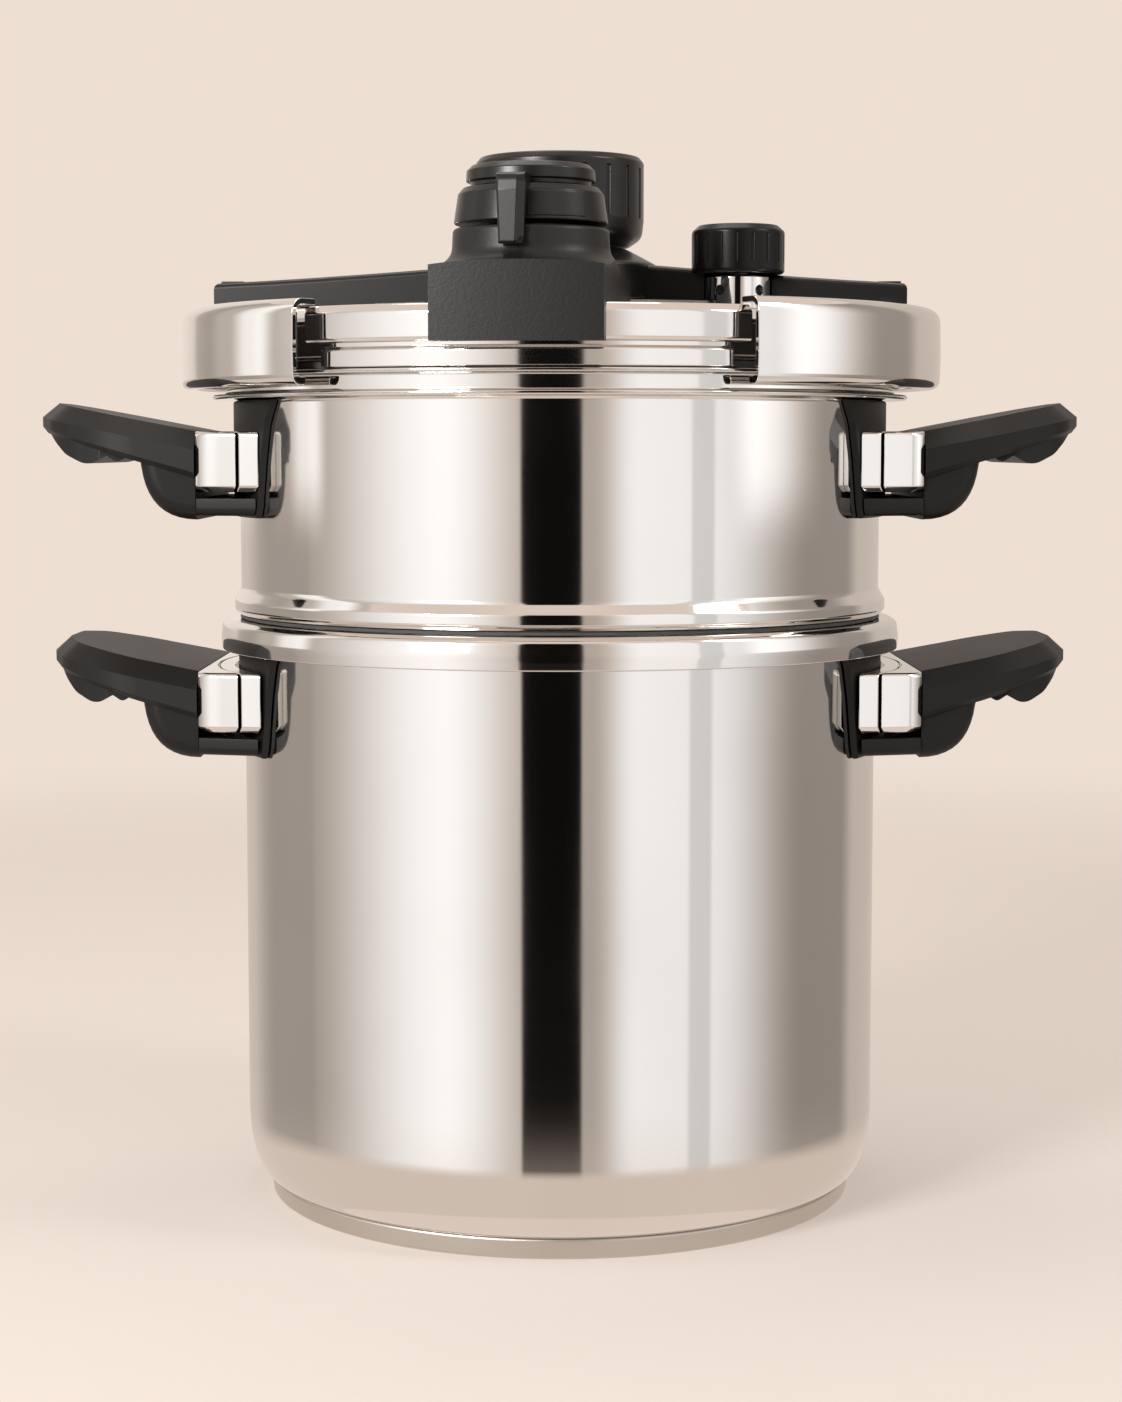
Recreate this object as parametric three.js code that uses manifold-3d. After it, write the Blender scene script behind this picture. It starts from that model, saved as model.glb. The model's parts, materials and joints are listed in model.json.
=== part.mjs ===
// A two-tier pressure canner: a deep lower pot, an upper tier that nests on its rim, and a lid
// held by two jaws that a central knob draws together. Millimetres, +Z up, the front is -Y.
// The origin is on the pot's axis, at the underside of the base.

import * as THREE from "three";
import { mergeVertices } from "three/addons/utils/BufferGeometryUtils.js";
import Module from "manifold-3d";

const wasm = await Module();
wasm.setup();

// ---------------------------------------------------------------- driving dimensions

const clearance = 0.3;         // kept between two pieces that touch
const sheet = 1.2;             // steel sheet of the pots and the lid
const roundSteps = 40;         // facets round a pot
const smallSteps = 20;         // facets round a knob or a valve

const potRadius = 120;         // lower pot, outside
const potFloor = 7.8;          // underside of the pot's floor
const potRimTop = 219.5;       // the flat on which the upper tier stands
const potRimRadius = 128.8;
const baseRadius = 111.2;

const tierRadius = 121.1;      // upper tier, outside
const tierSkirtRadius = 118.2; // the part that nests inside the lower pot
const tierFoot = 205.5;        // lowest point of the upper tier
const tierTop = 310.2;         // top face of the flange that the jaws grip
const flangeRadius = 131;
const grooveRadius = 126.5;    // bottom of the groove that takes the jaws' lower lips

const lidTurn = -6.2;          // degrees: the lid's front is turned a little to the left
const lidTop = 331.9;
const lidRadius = 125.5;
const bandAngle = 36.3;          // half the angle of the front and rear bands

const jawRadius = 134.2;       // outside of a closed jaw
const jawTravel = 9.2;         // how far each jaw stands open
const jawBottom = 304.9;
const jawTop = 334.5;
const jawHalfAngle = 58.3;     // half the angle that one jaw covers
const jawSheet = 2.2;

const armReach = 130.5;        // half the length of the bridge
const armHalfWidth = 14;
const armCentreTop = 350;
const armEndTop = 343.9;
const leftArmRise = 1.5;       // the left arm slopes down less than the right one
const hubRadius = 36;
const hubTop = 358;

const housingHalfWidth = 29.4;
const housingFront = 136;
const housingBottom = 318.8;
const housingTop = 345.1;
const turretY = -92;           // axis of the pressure selector
const turretRadius = 27.3;

const knobRadius = 31.7;
const knobBottom = 358.6;
const knobTop = 392;
const pinionRadius = 5.9;

const regulatorX = 68.1;
const regulatorY = -15;
const indicatorX = -75;
const indicatorY = 6.5;
const safetyY = 75;

const handleHalfWidth = 54;
const handleDrop = 87.5;       // the lower handles sit this much lower
const upperReach = 197;        // tip of an upper handle, from the axis
const lowerReach = 192.7;

// ---------------------------------------------------------------- materials

function finish(color, roughness, metalness) {
  return () => new THREE.MeshStandardMaterial({ color, roughness, metalness });
}

const polishedSteel = finish(0xd9d4ce, 0.08, 1);
const satinSteel = finish(0xbfb8b0, 0.35, 1);
const brass = finish(0xb59a5b, 0.3, 1);
const blackPlastic = finish(0x1d1c1b, 0.45, 0);
const greyRubber = finish(0x3a3937, 0.8, 0);

// ---------------------------------------------------------------- shape helpers

// A closed geometry as a solid, with its shared corners merged and its needle faces dropped.
function solidOf(geometry) {
  const bare = geometry.index ? geometry.toNonIndexed() : geometry.clone();
  bare.deleteAttribute("normal");
  bare.deleteAttribute("uv");
  const merged = mergeVertices(bare, 1e-4);
  const corners = merged.index.array;
  const kept = [];
  for (let i = 0; i < corners.length; i += 3) {
    const [a, b, c] = [corners[i], corners[i + 1], corners[i + 2]];
    if (a !== b && b !== c && c !== a) kept.push(a, b, c);
  }
  const mesh = new wasm.Mesh({
    numProp: 3,
    vertProperties: new Float32Array(merged.attributes.position.array),
    triVerts: new Uint32Array(kept),
  });
  return new wasm.Manifold(mesh);
}

function geometryOf(solid) {
  const mesh = solid.getMesh();
  const geometry = new THREE.BufferGeometry();
  geometry.setAttribute("position", new THREE.BufferAttribute(mesh.vertProperties, 3));
  geometry.setIndex(new THREE.BufferAttribute(mesh.triVerts, 1));
  geometry.computeVertexNormals();
  return geometry;
}

// A turned solid: the outline is a list of [radius, height], closed by its axis or by itself.
function turned(outline, steps = roundSteps) {
  const points = outline.map(([r, z]) => new THREE.Vector2(r, z));
  let area = 0;
  points.forEach((p, i) => {
    const q = points[(i + 1) % points.length];
    area += p.x * q.y - q.x * p.y;
  });
  if (area < 0) points.reverse();
  const onAxis = points[0].x === 0 && points[points.length - 1].x === 0;
  if (!onAxis) points.push(points[0].clone());
  const geometry = new THREE.LatheGeometry(points, steps);
  geometry.rotateX(Math.PI / 2);
  return solidOf(geometry);
}

// A plain shaft or hole between two heights.
function shaft(radius, bottom, top, steps = smallSteps) {
  return turned([[0, bottom], [radius, bottom], [radius, top], [0, top]], steps);
}

function moved(solid, x, y, z = 0) {
  return solid.translate([x, y, z]);
}

// A block between two opposite corners.
function block(low, high) {
  const size = high.map((value, i) => value - low[i]);
  const geometry = new THREE.BoxGeometry(...size);
  geometry.translate(...low.map((value, i) => value + size[i] / 2));
  return solidOf(geometry);
}

// An outline drawn flat, pushed up from one height to another.
function prism(outline, bottom, top) {
  const shape = new THREE.Shape(outline.map(([x, y]) => new THREE.Vector2(x, y)));
  const geometry = new THREE.ExtrudeGeometry(shape, { depth: top - bottom, bevelEnabled: false });
  geometry.translate(0, 0, bottom);
  return solidOf(geometry);
}

// An outline drawn in X and Z, pushed from -halfWidth to halfWidth along Y, with cut corners.
function upright(outline, halfWidth, cut = 0) {
  const shape = new THREE.Shape(outline.map(([x, z]) => new THREE.Vector2(x, z)));
  const geometry = new THREE.ExtrudeGeometry(shape, {
    depth: 2 * (halfWidth - cut),
    bevelEnabled: cut > 0,
    bevelThickness: cut,
    bevelSize: cut,
    bevelOffset: -cut,
    bevelSegments: 1,
  });
  geometry.translate(0, 0, -(halfWidth - cut));
  geometry.rotateX(Math.PI / 2);
  return solidOf(geometry);
}

// A wedge round the axis, for keeping one arc of a ring.
function wedge(middle, half, radius = 220) {
  const outline = [[0, 0]];
  const steps = 6;
  for (let i = 0; i <= steps; i++) {
    const angle = THREE.MathUtils.degToRad(middle - half + (2 * half * i) / steps);
    outline.push([radius * Math.cos(angle), radius * Math.sin(angle)]);
  }
  return prism(outline, 150, 400);
}

// Holes on circles, through a plate.
function holePattern(circles, bottom, top) {
  const holes = [];
  for (const [count, ring, radius] of circles) {
    for (let i = 0; i < count; i++) {
      const angle = (2 * Math.PI * i) / count;
      holes.push(moved(shaft(radius, bottom, top, 8), ring * Math.cos(angle), ring * Math.sin(angle)));
    }
  }
  return holes;
}

function drilled(solid, holes) {
  return holes.reduce((rest, hole) => rest.subtract(hole), solid);
}

function piece(name, solid, material) {
  const mesh = new THREE.Mesh(geometryOf(solid), material());
  mesh.name = name;
  return mesh;
}

function assembly(...pieces) {
  const group = new THREE.Group();
  pieces.forEach((one) => group.add(one));
  return group;
}

// ---------------------------------------------------------------- lower pot

// A sheet pot whose mouth turns out and down into a deep rim band, open below.
function lowerPotShell() {
  const inside = potRadius - sheet;
  const rimInside = potRimRadius - sheet;
  return turned([
    [0, potFloor],
    [112.5, potFloor],
    [115, potFloor + 1.9],
    [117.6, 16],
    [118.9, 22],
    [potRadius, 30],
    [potRadius, 216.4],
    [121.8, 217.9],
    [rimInside - 2.4, 217.3],
    [rimInside, 216],
    [rimInside, 208],
    [potRimRadius, 208],
    [potRimRadius, 216.6],
    [127.8, 218.2],
    [125.4, 219.1],
    [122.4, potRimTop],
    [inside + 0.6, potRimTop],
    [inside, potRimTop - 0.6],
    [inside, 30],
    [117.7, 22.3],
    [116.4, 16.5],
    [113.9, 11],
    [111.9, potFloor + sheet],
    [0, potFloor + sheet],
  ]);
}

// The thick disc under the pot that spreads the heat.
function baseDisc() {
  const top = potFloor - clearance;
  return turned([
    [0, 0],
    [baseRadius - 0.8, 0],
    [baseRadius, 0.8],
    [baseRadius + 0.9, top - 0.7],
    [baseRadius + 0.2, top],
    [0, top],
  ]);
}

// A perforated rack on a foot ring, which keeps the jars off the floor.
function canningRack() {
  const foot = potFloor + sheet + clearance;
  const plate = 22;
  const rack = turned([
    [0, plate],
    [103.2, plate],
    [103.2, foot],
    [104.4, foot],
    [106, plate + 1.4],
    [0, plate + 1.4],
  ], 24);
  return drilled(rack, holePattern([[1, 0, 12], [6, 42, 8], [11, 78, 9]], plate - 2, plate + 4));
}

// ---------------------------------------------------------------- upper tier

// Its skirt nests in the lower pot, and its top carries the groove and flange for the jaws.
function upperPotShell() {
  const inside = tierRadius - sheet;
  const skirtInside = tierSkirtRadius - sheet;
  const shoulder = potRimTop + 1.7;
  return turned([
    [106, tierFoot],
    [tierSkirtRadius - 1, tierFoot],
    [tierSkirtRadius, tierFoot + 1],
    [tierSkirtRadius, shoulder],
    [121.9, shoulder],
    [123.1, shoulder + 1.3],
    [123.4, shoulder + 3.3],
    [122.6, shoulder + 6.3],
    [tierRadius, 230],
    [tierRadius, 301],
    [flangeRadius + 0.2, 301],
    [flangeRadius + 0.2, 302.7],
    [grooveRadius, 302.7],
    [grooveRadius, 308.7],
    [flangeRadius, 308.7],
    [flangeRadius, tierTop],
    [inside + 0.7, tierTop],
    [inside, tierTop - 0.7],
    [inside, 230.2],
    [121.4, shoulder + 6],
    [122.2, shoulder + 3.2],
    [121.4, shoulder + sheet],
    [skirtInside, shoulder + sheet],
    [skirtInside, tierFoot + sheet],
    [106, tierFoot + sheet],
  ]);
}

function flatRing(inner, outer, bottom, top) {
  return turned([[inner, bottom], [outer, bottom], [outer, top], [inner, top]]);
}

// The seal between the two pots.
function tierGasket() {
  const bottom = potRimTop + clearance;
  return flatRing(tierSkirtRadius + 0.4, 121.6, bottom, bottom + 1.1);
}

// A loose perforated floor that lies on the tier's inner ledge.
function steamTray() {
  const bottom = tierFoot + sheet + clearance;
  const tray = turned([
    [0, bottom],
    [115, bottom],
    [116.2, bottom + 1.2],
    [116.2, bottom + 6],
    [115, bottom + 6],
    [115, bottom + 1.9],
    [114.4, bottom + sheet],
    [0, bottom + sheet],
  ], 24);
  return drilled(tray, holePattern([[1, 0, 9], [7, 40, 8], [12, 80, 8]], bottom - 2, bottom + 4));
}

// ---------------------------------------------------------------- lid and its bands

// The pressed lid, with a flange over the gasket, a locating skirt and its valve holes.
function lidShell() {
  const inside = lidRadius - sheet;
  const shell = turned([
    [0, lidTop],
    [112, lidTop - 0.3],
    [119.5, lidTop - 0.7],
    [123.5, lidTop - 2.1],
    [lidRadius - 0.2, lidTop - 4.9],
    [lidRadius, 324],
    [lidRadius, 314.6],
    [127.6, 314.6],
    [127.6, 313.1],
    [120.2, 313.1],
    [118.9, 312.4],
    [118.9, 305.5],
    [117.7, 305.5],
    [117.7, 313.5],
    [119, 314.6],
    [inside, 314.6],
    [inside, 324],
    [inside - 0.2, lidTop - 5.3],
    [122.7, lidTop - 3.1],
    [119.2, lidTop - 2],
    [112, lidTop - 1.5],
    [0, lidTop - sheet],
  ]);
  return drilled(shell, [
    moved(shaft(3.3, 320, 340, 16), 0, turretY),
    moved(shaft(3.3, 320, 340, 16), regulatorX, regulatorY),
    moved(shaft(2.6, 320, 340, 16), indicatorX, indicatorY),
    moved(shaft(4.1, 320, 340, 16), 0, safetyY),
    moved(shaft(2.3, 320, 340, 12), 0, -20),
    moved(shaft(2.3, 320, 340, 12), 0, 20),
  ]);
}

function lidGasket() {
  const bottom = tierTop + clearance;
  return flatRing(120.6, 127.2, bottom, bottom + 2.3);
}

// A ribbed band that closes the lid's edge between the two jaws, at the front or the rear.
function lidBand(middle) {
  const ring = turned([
    [128.9, 310.6],
    [129.1, 316.4],
    [127.5, 317.4],
    [127.5, 318.8],
    [130, 319.6],
    [130.3, 328.4],
    [129.3, 330.6],
    [126.5, lidTop],
    [126.1, lidTop - 1.1],
    [128.3, 329.8],
    [129.1, 328.2],
    [128.9, 320.6],
    [126.3, 319.6],
    [126.3, 316.8],
    [127.9, 315.6],
    [127.9, 310.6],
  ]);
  return ring.intersect(wedge(middle, bandAngle));
}

// ---------------------------------------------------------------- jaws

// The right-hand jaw: a C-shaped arc, closed on the axis, with the tongue that drives it.
function closedJaw() {
  const inner = jawRadius - jawSheet;
  const ring = turned([
    [127.3, jawBottom],
    [130.7, jawBottom],
    [133, jawBottom + 1.1],
    [jawRadius, jawBottom + 3.8],
    [jawRadius, jawTop - 4.8],
    [132.9, jawTop - 1.4],
    [129.6, jawTop],
    [122.2, jawTop],
    [122.2, jawTop - jawSheet],
    [129.1, jawTop - jawSheet],
    [131.2, jawTop - 3.1],
    [inner, jawTop - 5.2],
    [inner, jawBottom + 4.3],
    [131.4, jawBottom + 3],
    [130.3, jawBottom + 2.7],
    [127.3, jawBottom + 2.7],
  ], 56);
  const rail = block([40, -1.5, jawTop - 2.1], [126, 9.5, jawTop - 0.1]);
  const foot = block([32, -11, jawTop - 2.1], [45, 9.5, jawTop - 0.1]);
  return ring.intersect(wedge(0, jawHalfAngle)).add(rail).add(foot);
}

// The toothed strip on the tongue. Its teeth stop just short of the pinion's.
function closedRack() {
  const near = -(pinionRadius + 0.4);
  const pitch = Math.PI;
  const outline = [[-31, near - 4.4], [44, near - 4.4], [44, near - 1.2]];
  for (let x = 18; x > -29; x -= pitch) {
    outline.push([x, near - 1.2], [x - 0.7, near], [x - 1.5, near], [x - 2.2, near - 1.2]);
  }
  outline.push([-31, near - 1.2]);
  return prism(outline, jawTop + 0.2, jawTop + 2.4);
}

function jawPair() {
  const jaw = closedJaw();
  const rack = closedRack();
  const right = assembly(
    piece("jaw_right", jaw, polishedSteel),
    piece("jaw_rack_right", rack, satinSteel),
  );
  const left = assembly(
    piece("jaw_left", jaw, polishedSteel),
    piece("jaw_rack_left", rack, satinSteel),
  );
  right.position.x = jawTravel;
  left.position.x = -jawTravel;
  left.rotation.z = Math.PI;
  return assembly(right, left);
}

// A stirrup on the lid that holds a tongue down and lets it slide.
function slideGuide() {
  const outline = [
    [-3.2, 332.2],
    [-2, 332.2],
    [-2, 334.8],
    [9.9, 334.8],
    [9.9, 332.2],
    [11, 332.2],
    [11, 336],
    [-3.2, 336],
  ];
  const shape = new THREE.Shape(outline.map(([y, z]) => new THREE.Vector2(y, z)));
  const geometry = new THREE.ExtrudeGeometry(shape, { depth: 8, bevelEnabled: false });
  geometry.rotateX(Math.PI / 2);
  geometry.rotateZ(Math.PI / 2);
  geometry.translate(96, 0, 0);
  return solidOf(geometry);
}

// ---------------------------------------------------------------- bridge and front housing

// The long moulding across the lid, hollow below where the tongues slide, with its round hub.
function bridgeArms() {
  const outline = [
    [-armReach, 335],
    [-55, 338],
    [0, 338.7],
    [55, 338],
    [armReach, 335],
    [armReach, armEndTop - 1.2],
    [armReach - 1.4, armEndTop],
    [60, 346.4],
    [0, armCentreTop],
    [-60, 346.4 + leftArmRise],
    [1.4 - armReach, armEndTop + leftArmRise],
    [-armReach, armEndTop + leftArmRise - 1.2],
  ];
  const arms = upright(outline, armHalfWidth, 1);
  const hub = turned([
    [0, 338.9],
    [hubRadius, 338.9],
    [hubRadius, 352.6],
    [26, hubTop],
    [0, hubTop],
  ], 28);
  return drilled(arms.add(hub), [
    block([50, -11.3, 330], [125, 11.3, 338.2]),
    block([-125, -11.3, 330], [-50, 11.3, 338.2]),
    shaft(6.8, 330, 360, 20),
    moved(shaft(4.3, 330, 350.3, 16), 0, -20),
    moved(shaft(4.3, 330, 350.3, 16), 0, 20),
    moved(shaft(12.5, 330, 360, 24), regulatorX, regulatorY),
    moved(shaft(2.7, 330, 360, 12), indicatorX, indicatorY),
  ]);
}

// The box in front of the hub, which covers the vent and carries the selector's collar.
function frontHousing() {
  const box = block([-housingHalfWidth, -housingFront, housingBottom], [housingHalfWidth, -30, housingTop]);
  const collar = turned([
    [0, housingTop - 2],
    [29.3, housingTop - 2],
    [29.3, housingTop + 0.4],
    [27.8, housingTop + 2.5],
    [turretRadius, housingTop + 4.7],
    [turretRadius, 358.5],
    [0, 358.5],
  ], 28);
  return drilled(box.add(moved(collar, 0, turretY)), [
    shaft(130.7, 300, 332.2, roundSteps),
    shaft(hubRadius + 0.4, 330, 360, 28),
    moved(shaft(20, 330, 345.2, 24), 0, turretY),
    moved(shaft(13.6, 340, 360, 24), 0, turretY),
  ]);
}

// A post between lid and bridge, and the screw that comes up into it from under the lid.
function bridgePost() {
  return shaft(4, 332.2, 350, 16).subtract(shaft(2.4, 332, 346, 12));
}

function bridgeScrew() {
  return turned([[0, 327.6], [4.4, 327.6], [4.4, 330.4], [2, 330.4], [2, 345.4], [0, 345.4]], 14);
}

// ---------------------------------------------------------------- knob and its spindle

function mainKnob() {
  const knob = turned([
    [0, knobBottom],
    [26.5, knobBottom],
    [29.8, knobBottom + 1.5],
    [31.2, knobBottom + 5],
    [knobRadius, knobBottom + 9],
    [knobRadius, knobTop - 2.6],
    [30.8, knobTop - 0.7],
    [29, knobTop],
    [26.4, knobTop],
    [25.6, knobTop - 1.4],
    [0, knobTop - 1.4],
  ], 28);
  return knob.subtract(shaft(4.2, 350, 374.3, 16));
}

// A shaft with a twelve-toothed pinion between the two racks.
function knobSpindle() {
  const teeth = 12;
  const root = pinionRadius - 1.1;
  const outline = [];
  for (let i = 0; i < teeth; i++) {
    const angle = (2 * Math.PI * i) / teeth;
    for (const [turn, radius] of [[0, root], [0.14, pinionRadius], [0.3, pinionRadius], [0.44, root]]) {
      outline.push([radius * Math.cos(angle + turn), radius * Math.sin(angle + turn)]);
    }
  }
  return prism(outline, 334.8, 337.2).add(shaft(3.8, 332.4, 374, 16));
}

function spindleBush() {
  return shaft(6.5, 339, 357.8, 20).subtract(shaft(4.2, 330, 360, 16));
}

// ---------------------------------------------------------------- pressure selector

// The turning ring with its pointer lever, and the sleeve that runs down into the collar.
function selectorRing() {
  const ring = turned([
    [10, 347.4],
    [13, 347.4],
    [13, 359.1],
    [26.7, 359.1],
    [26.5, 361],
    [25.2, 370.4],
    [23.6, 372.3],
    [10, 372.3],
  ], 28);
  const upperLever = block([-3.7, -32, 359.3], [3.7, -20, 372.1]);
  const hangingLever = block([-3.7, -32, 351.5], [3.7, -28, 375.3]);
  return ring.add(upperLever).add(hangingLever);
}

function selectorCap() {
  return turned([
    [0, 366],
    [9.6, 366],
    [9.6, 372.6],
    [20.6, 372.6],
    [20.6, 374.2],
    [22.4, 374.2],
    [22.2, 378.4],
    [20.8, 380],
    [0, 380],
  ], 28);
}

// The vent that comes up through the lid, its plunger, and the spring that loads it.
function ventPipe() {
  const pipe = turned([
    [2, 322],
    [3, 322],
    [3, 332.2],
    [8, 332.2],
    [8, 336],
    [4.5, 338],
    [4.5, 344],
    [2, 344],
  ], 20);
  return pipe;
}

function ventPlunger() {
  return turned([[0, 344.4], [6, 344.4], [6, 346], [7.2, 346], [7.2, 350.2], [3, 350.2], [3, 354], [0, 354]], 20);
}

class Helix extends THREE.Curve {
  constructor(radius, bottom, height, turns) {
    super();
    Object.assign(this, { radius, bottom, height, turns });
  }

  getPoint(t, target = new THREE.Vector3()) {
    const angle = 2 * Math.PI * this.turns * t;
    const z = this.bottom + this.height * t;
    return target.set(this.radius * Math.cos(angle), this.radius * Math.sin(angle), z);
  }
}

function ventSpring() {
  const turns = 3;
  const wire = new THREE.Shape();
  wire.absarc(0, 0, 0.6, 0, 2 * Math.PI);
  const geometry = new THREE.ExtrudeGeometry(wire, {
    steps: 9 * turns,
    curveSegments: 3,
    extrudePath: new Helix(5.4, 353.2, 11.6, turns),
  });
  return solidOf(geometry);
}

// ---------------------------------------------------------------- valves on the lid

// The bright stem with its ring of steam holes, screwed through the lid.
function regulatorStem() {
  const stem = turned([
    [0, 321],
    [2.9, 321],
    [2.9, 332.2],
    [12, 332.2],
    [12, 346.2],
    [11.4, 346.7],
    [4.4, 346.7],
    [4.4, 352],
    [0, 352],
  ], 24);
  const drill = new THREE.CylinderGeometry(2, 2, 30, 8);
  const holes = [10, 70, 130].map((angle) => solidOf(drill.clone()).rotate([0, 0, angle]).translate([0, 0, 341]));
  return drilled(stem, holes);
}

function regulatorCap() {
  const cap = turned([
    [0, 347.3],
    [15.8, 347.3],
    [17.2, 348.5],
    [17.2, 363],
    [16.2, 364.6],
    [13.6, 365.3],
    [0, 365.6],
  ], 24);
  return cap.subtract(shaft(5.2, 340, 356.6, 20));
}

function hexNut(radius, bore, bottom, top) {
  return shaft(radius, bottom, top, 6).subtract(shaft(bore, bottom - 1, top + 1, 16));
}

function indicatorPin() {
  return turned([[0, 324], [4.2, 324], [4.2, 326], [2.2, 326], [2.2, 345.6], [0, 345.6]], 14);
}

function indicatorSeal() {
  return shaft(4.6, 332, 334, 14).subtract(shaft(2.6, 330, 340, 12));
}

function safetyValve() {
  return turned([
    [0, 321],
    [3.7, 321],
    [3.7, 332.2],
    [8, 332.2],
    [8, 336.4],
    [5.6, 338.6],
    [5.6, 341],
    [0, 341],
  ], 16);
}

// ---------------------------------------------------------------- handles

// The grip's side outline, from the ferrule out to the tip and back along the finger ridges.
function handleGrip(reach) {
  const stretch = (reach - 132.5) / (upperReach - 132.5);
  const outline = [
    [132.5, 257.2],
    [135.6, 257],
    [142, 258.6],
    [147.5, 262.5],
    [151.3, 268.4],
    [153.3, 276.3],
    [163, 277.6],
    [170, 277.4],
    [176.3, 277.4],
    [184, 281.6],
    [196, 290.6],
    [197, 293],
    [188.7, 300],
    [138, 290.4],
    [132.5, 289.3],
  ].map(([x, z]) => [132.5 + (x - 132.5) * stretch, z]);
  const side = upright(outline, handleHalfWidth, 0.9);
  const tip = reach - 6;
  const plan = prism([
    [110, -60],
    [150, -60],
    [150, -handleHalfWidth],
    [tip - 16, -49],
    [tip, -40],
    [reach, -24],
    [reach, 24],
    [tip, 40],
    [tip - 16, 49],
    [150, handleHalfWidth],
    [150, 60],
    [110, 60],
  ], 240, 320);
  const bore = shaft(3, 0, 151, 12).rotate([0, 90, 0]).translate([0, 0, 274]);
  return side.intersect(plan).subtract(bore);
}

// The bright ferrule between grip and pot, curved to the pot on its inner side.
function handleFerrule(wallRadius) {
  const outer = prism([[105, -60.5], [132.2, -52.8], [132.2, 52.8], [105, 60.5]], 258.6, 289);
  const bore = shaft(3, 0, 151, 12).rotate([0, 90, 0]).translate([0, 0, 274]);
  return outer.subtract(shaft(wallRadius + 2.6, 240, 320, roundSteps)).subtract(bore);
}

// The black shield that hugs the pot's wall behind the ferrule.
function handleShield(wallRadius, top) {
  const ring = flatRing(wallRadius + clearance, wallRadius + 2.3, 240, 310);
  const shape = new THREE.Shape([
    new THREE.Vector2(-56, 257.6),
    new THREE.Vector2(56, 257.6),
    new THREE.Vector2(61, 280),
    new THREE.Vector2(67, top - 4),
    new THREE.Vector2(67, top),
    new THREE.Vector2(-67, top),
    new THREE.Vector2(-67, top - 4),
    new THREE.Vector2(-61, 280),
  ]);
  const geometry = new THREE.ExtrudeGeometry(shape, { depth: 60, bevelEnabled: false });
  geometry.rotateX(Math.PI / 2);
  geometry.rotateZ(Math.PI / 2);
  geometry.translate(80, 0, 0);
  const bore = shaft(3, 0, 151, 12).rotate([0, 90, 0]).translate([0, 0, 274]);
  return ring.intersect(solidOf(geometry)).subtract(bore);
}

// The stud welded to the pot, on which shield, ferrule and grip are held.
function handleStud(wallRadius) {
  return shaft(2.6, wallRadius + clearance, 150, 12).rotate([0, 90, 0]).translate([0, 0, 274]);
}

function handle(name, wallRadius, reach, shieldTop) {
  return assembly(
    piece(`${name}_shield`, handleShield(wallRadius, shieldTop), blackPlastic),
    piece(`${name}_stud`, handleStud(wallRadius), satinSteel),
    piece(`${name}_ferrule`, handleFerrule(wallRadius), polishedSteel),
    piece(`${name}_grip`, handleGrip(reach), blackPlastic),
  );
}

function handlePair(tier, wallRadius, reach, shieldTop, drop) {
  const right = handle(`${tier}_handle_right`, wallRadius, reach, shieldTop);
  const left = handle(`${tier}_handle_left`, wallRadius, reach, shieldTop);
  left.rotation.z = Math.PI;
  const pair = assembly(right, left);
  pair.position.z = -drop;
  return pair;
}

// ---------------------------------------------------------------- assembly

const lowerPot = assembly(
  piece("lower_pot_shell", lowerPotShell(), polishedSteel),
  piece("base_disc", baseDisc(), satinSteel),
  piece("canning_rack", canningRack(), satinSteel),
  handlePair("lower", potRadius, lowerReach, 207.6 + handleDrop, handleDrop),
);

const upperTier = assembly(
  piece("upper_pot_shell", upperPotShell(), polishedSteel),
  piece("tier_gasket", tierGasket(), greyRubber),
  piece("steam_tray", steamTray(), satinSteel),
  handlePair("upper", tierRadius, upperReach, 300.6, 0),
);

const guideRight = piece("slide_guide_right", slideGuide(), satinSteel);
const guideLeft = piece("slide_guide_left", slideGuide(), satinSteel);
guideLeft.rotation.z = Math.PI;

const turret = assembly(
  piece("vent_pipe", ventPipe(), brass),
  piece("vent_plunger", ventPlunger(), satinSteel),
  piece("vent_spring", ventSpring(), satinSteel),
  piece("selector_ring", selectorRing(), blackPlastic),
  piece("selector_cap", selectorCap(), blackPlastic),
  piece("vent_nut", hexNut(7, 3.4, 324.6, 330.2), brass),
);
turret.position.y = turretY;
turret.getObjectByName("selector_ring").rotation.z = THREE.MathUtils.degToRad(-7.2);

const regulator = assembly(
  piece("regulator_stem", regulatorStem(), polishedSteel),
  piece("regulator_cap", regulatorCap(), blackPlastic),
  piece("regulator_nut", hexNut(7, 3.3, 324.4, 330), brass),
);
regulator.position.set(regulatorX, regulatorY, 0);

const indicator = assembly(
  piece("indicator_pin", indicatorPin(), satinSteel),
  piece("indicator_seal", indicatorSeal(), greyRubber),
);
indicator.position.set(indicatorX, indicatorY, 0);

const safety = assembly(
  piece("safety_valve", safetyValve(), brass),
  piece("safety_nut", hexNut(8, 4.1, 324.4, 330), brass),
);
safety.position.y = safetyY;

const postFront = piece("bridge_post_front", bridgePost(), satinSteel);
const postRear = piece("bridge_post_rear", bridgePost(), satinSteel);
const screwFront = piece("bridge_screw_front", bridgeScrew(), satinSteel);
const screwRear = piece("bridge_screw_rear", bridgeScrew(), satinSteel);
for (const front of [postFront, screwFront]) front.position.y = -20;
for (const rear of [postRear, screwRear]) rear.position.y = 20;

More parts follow.
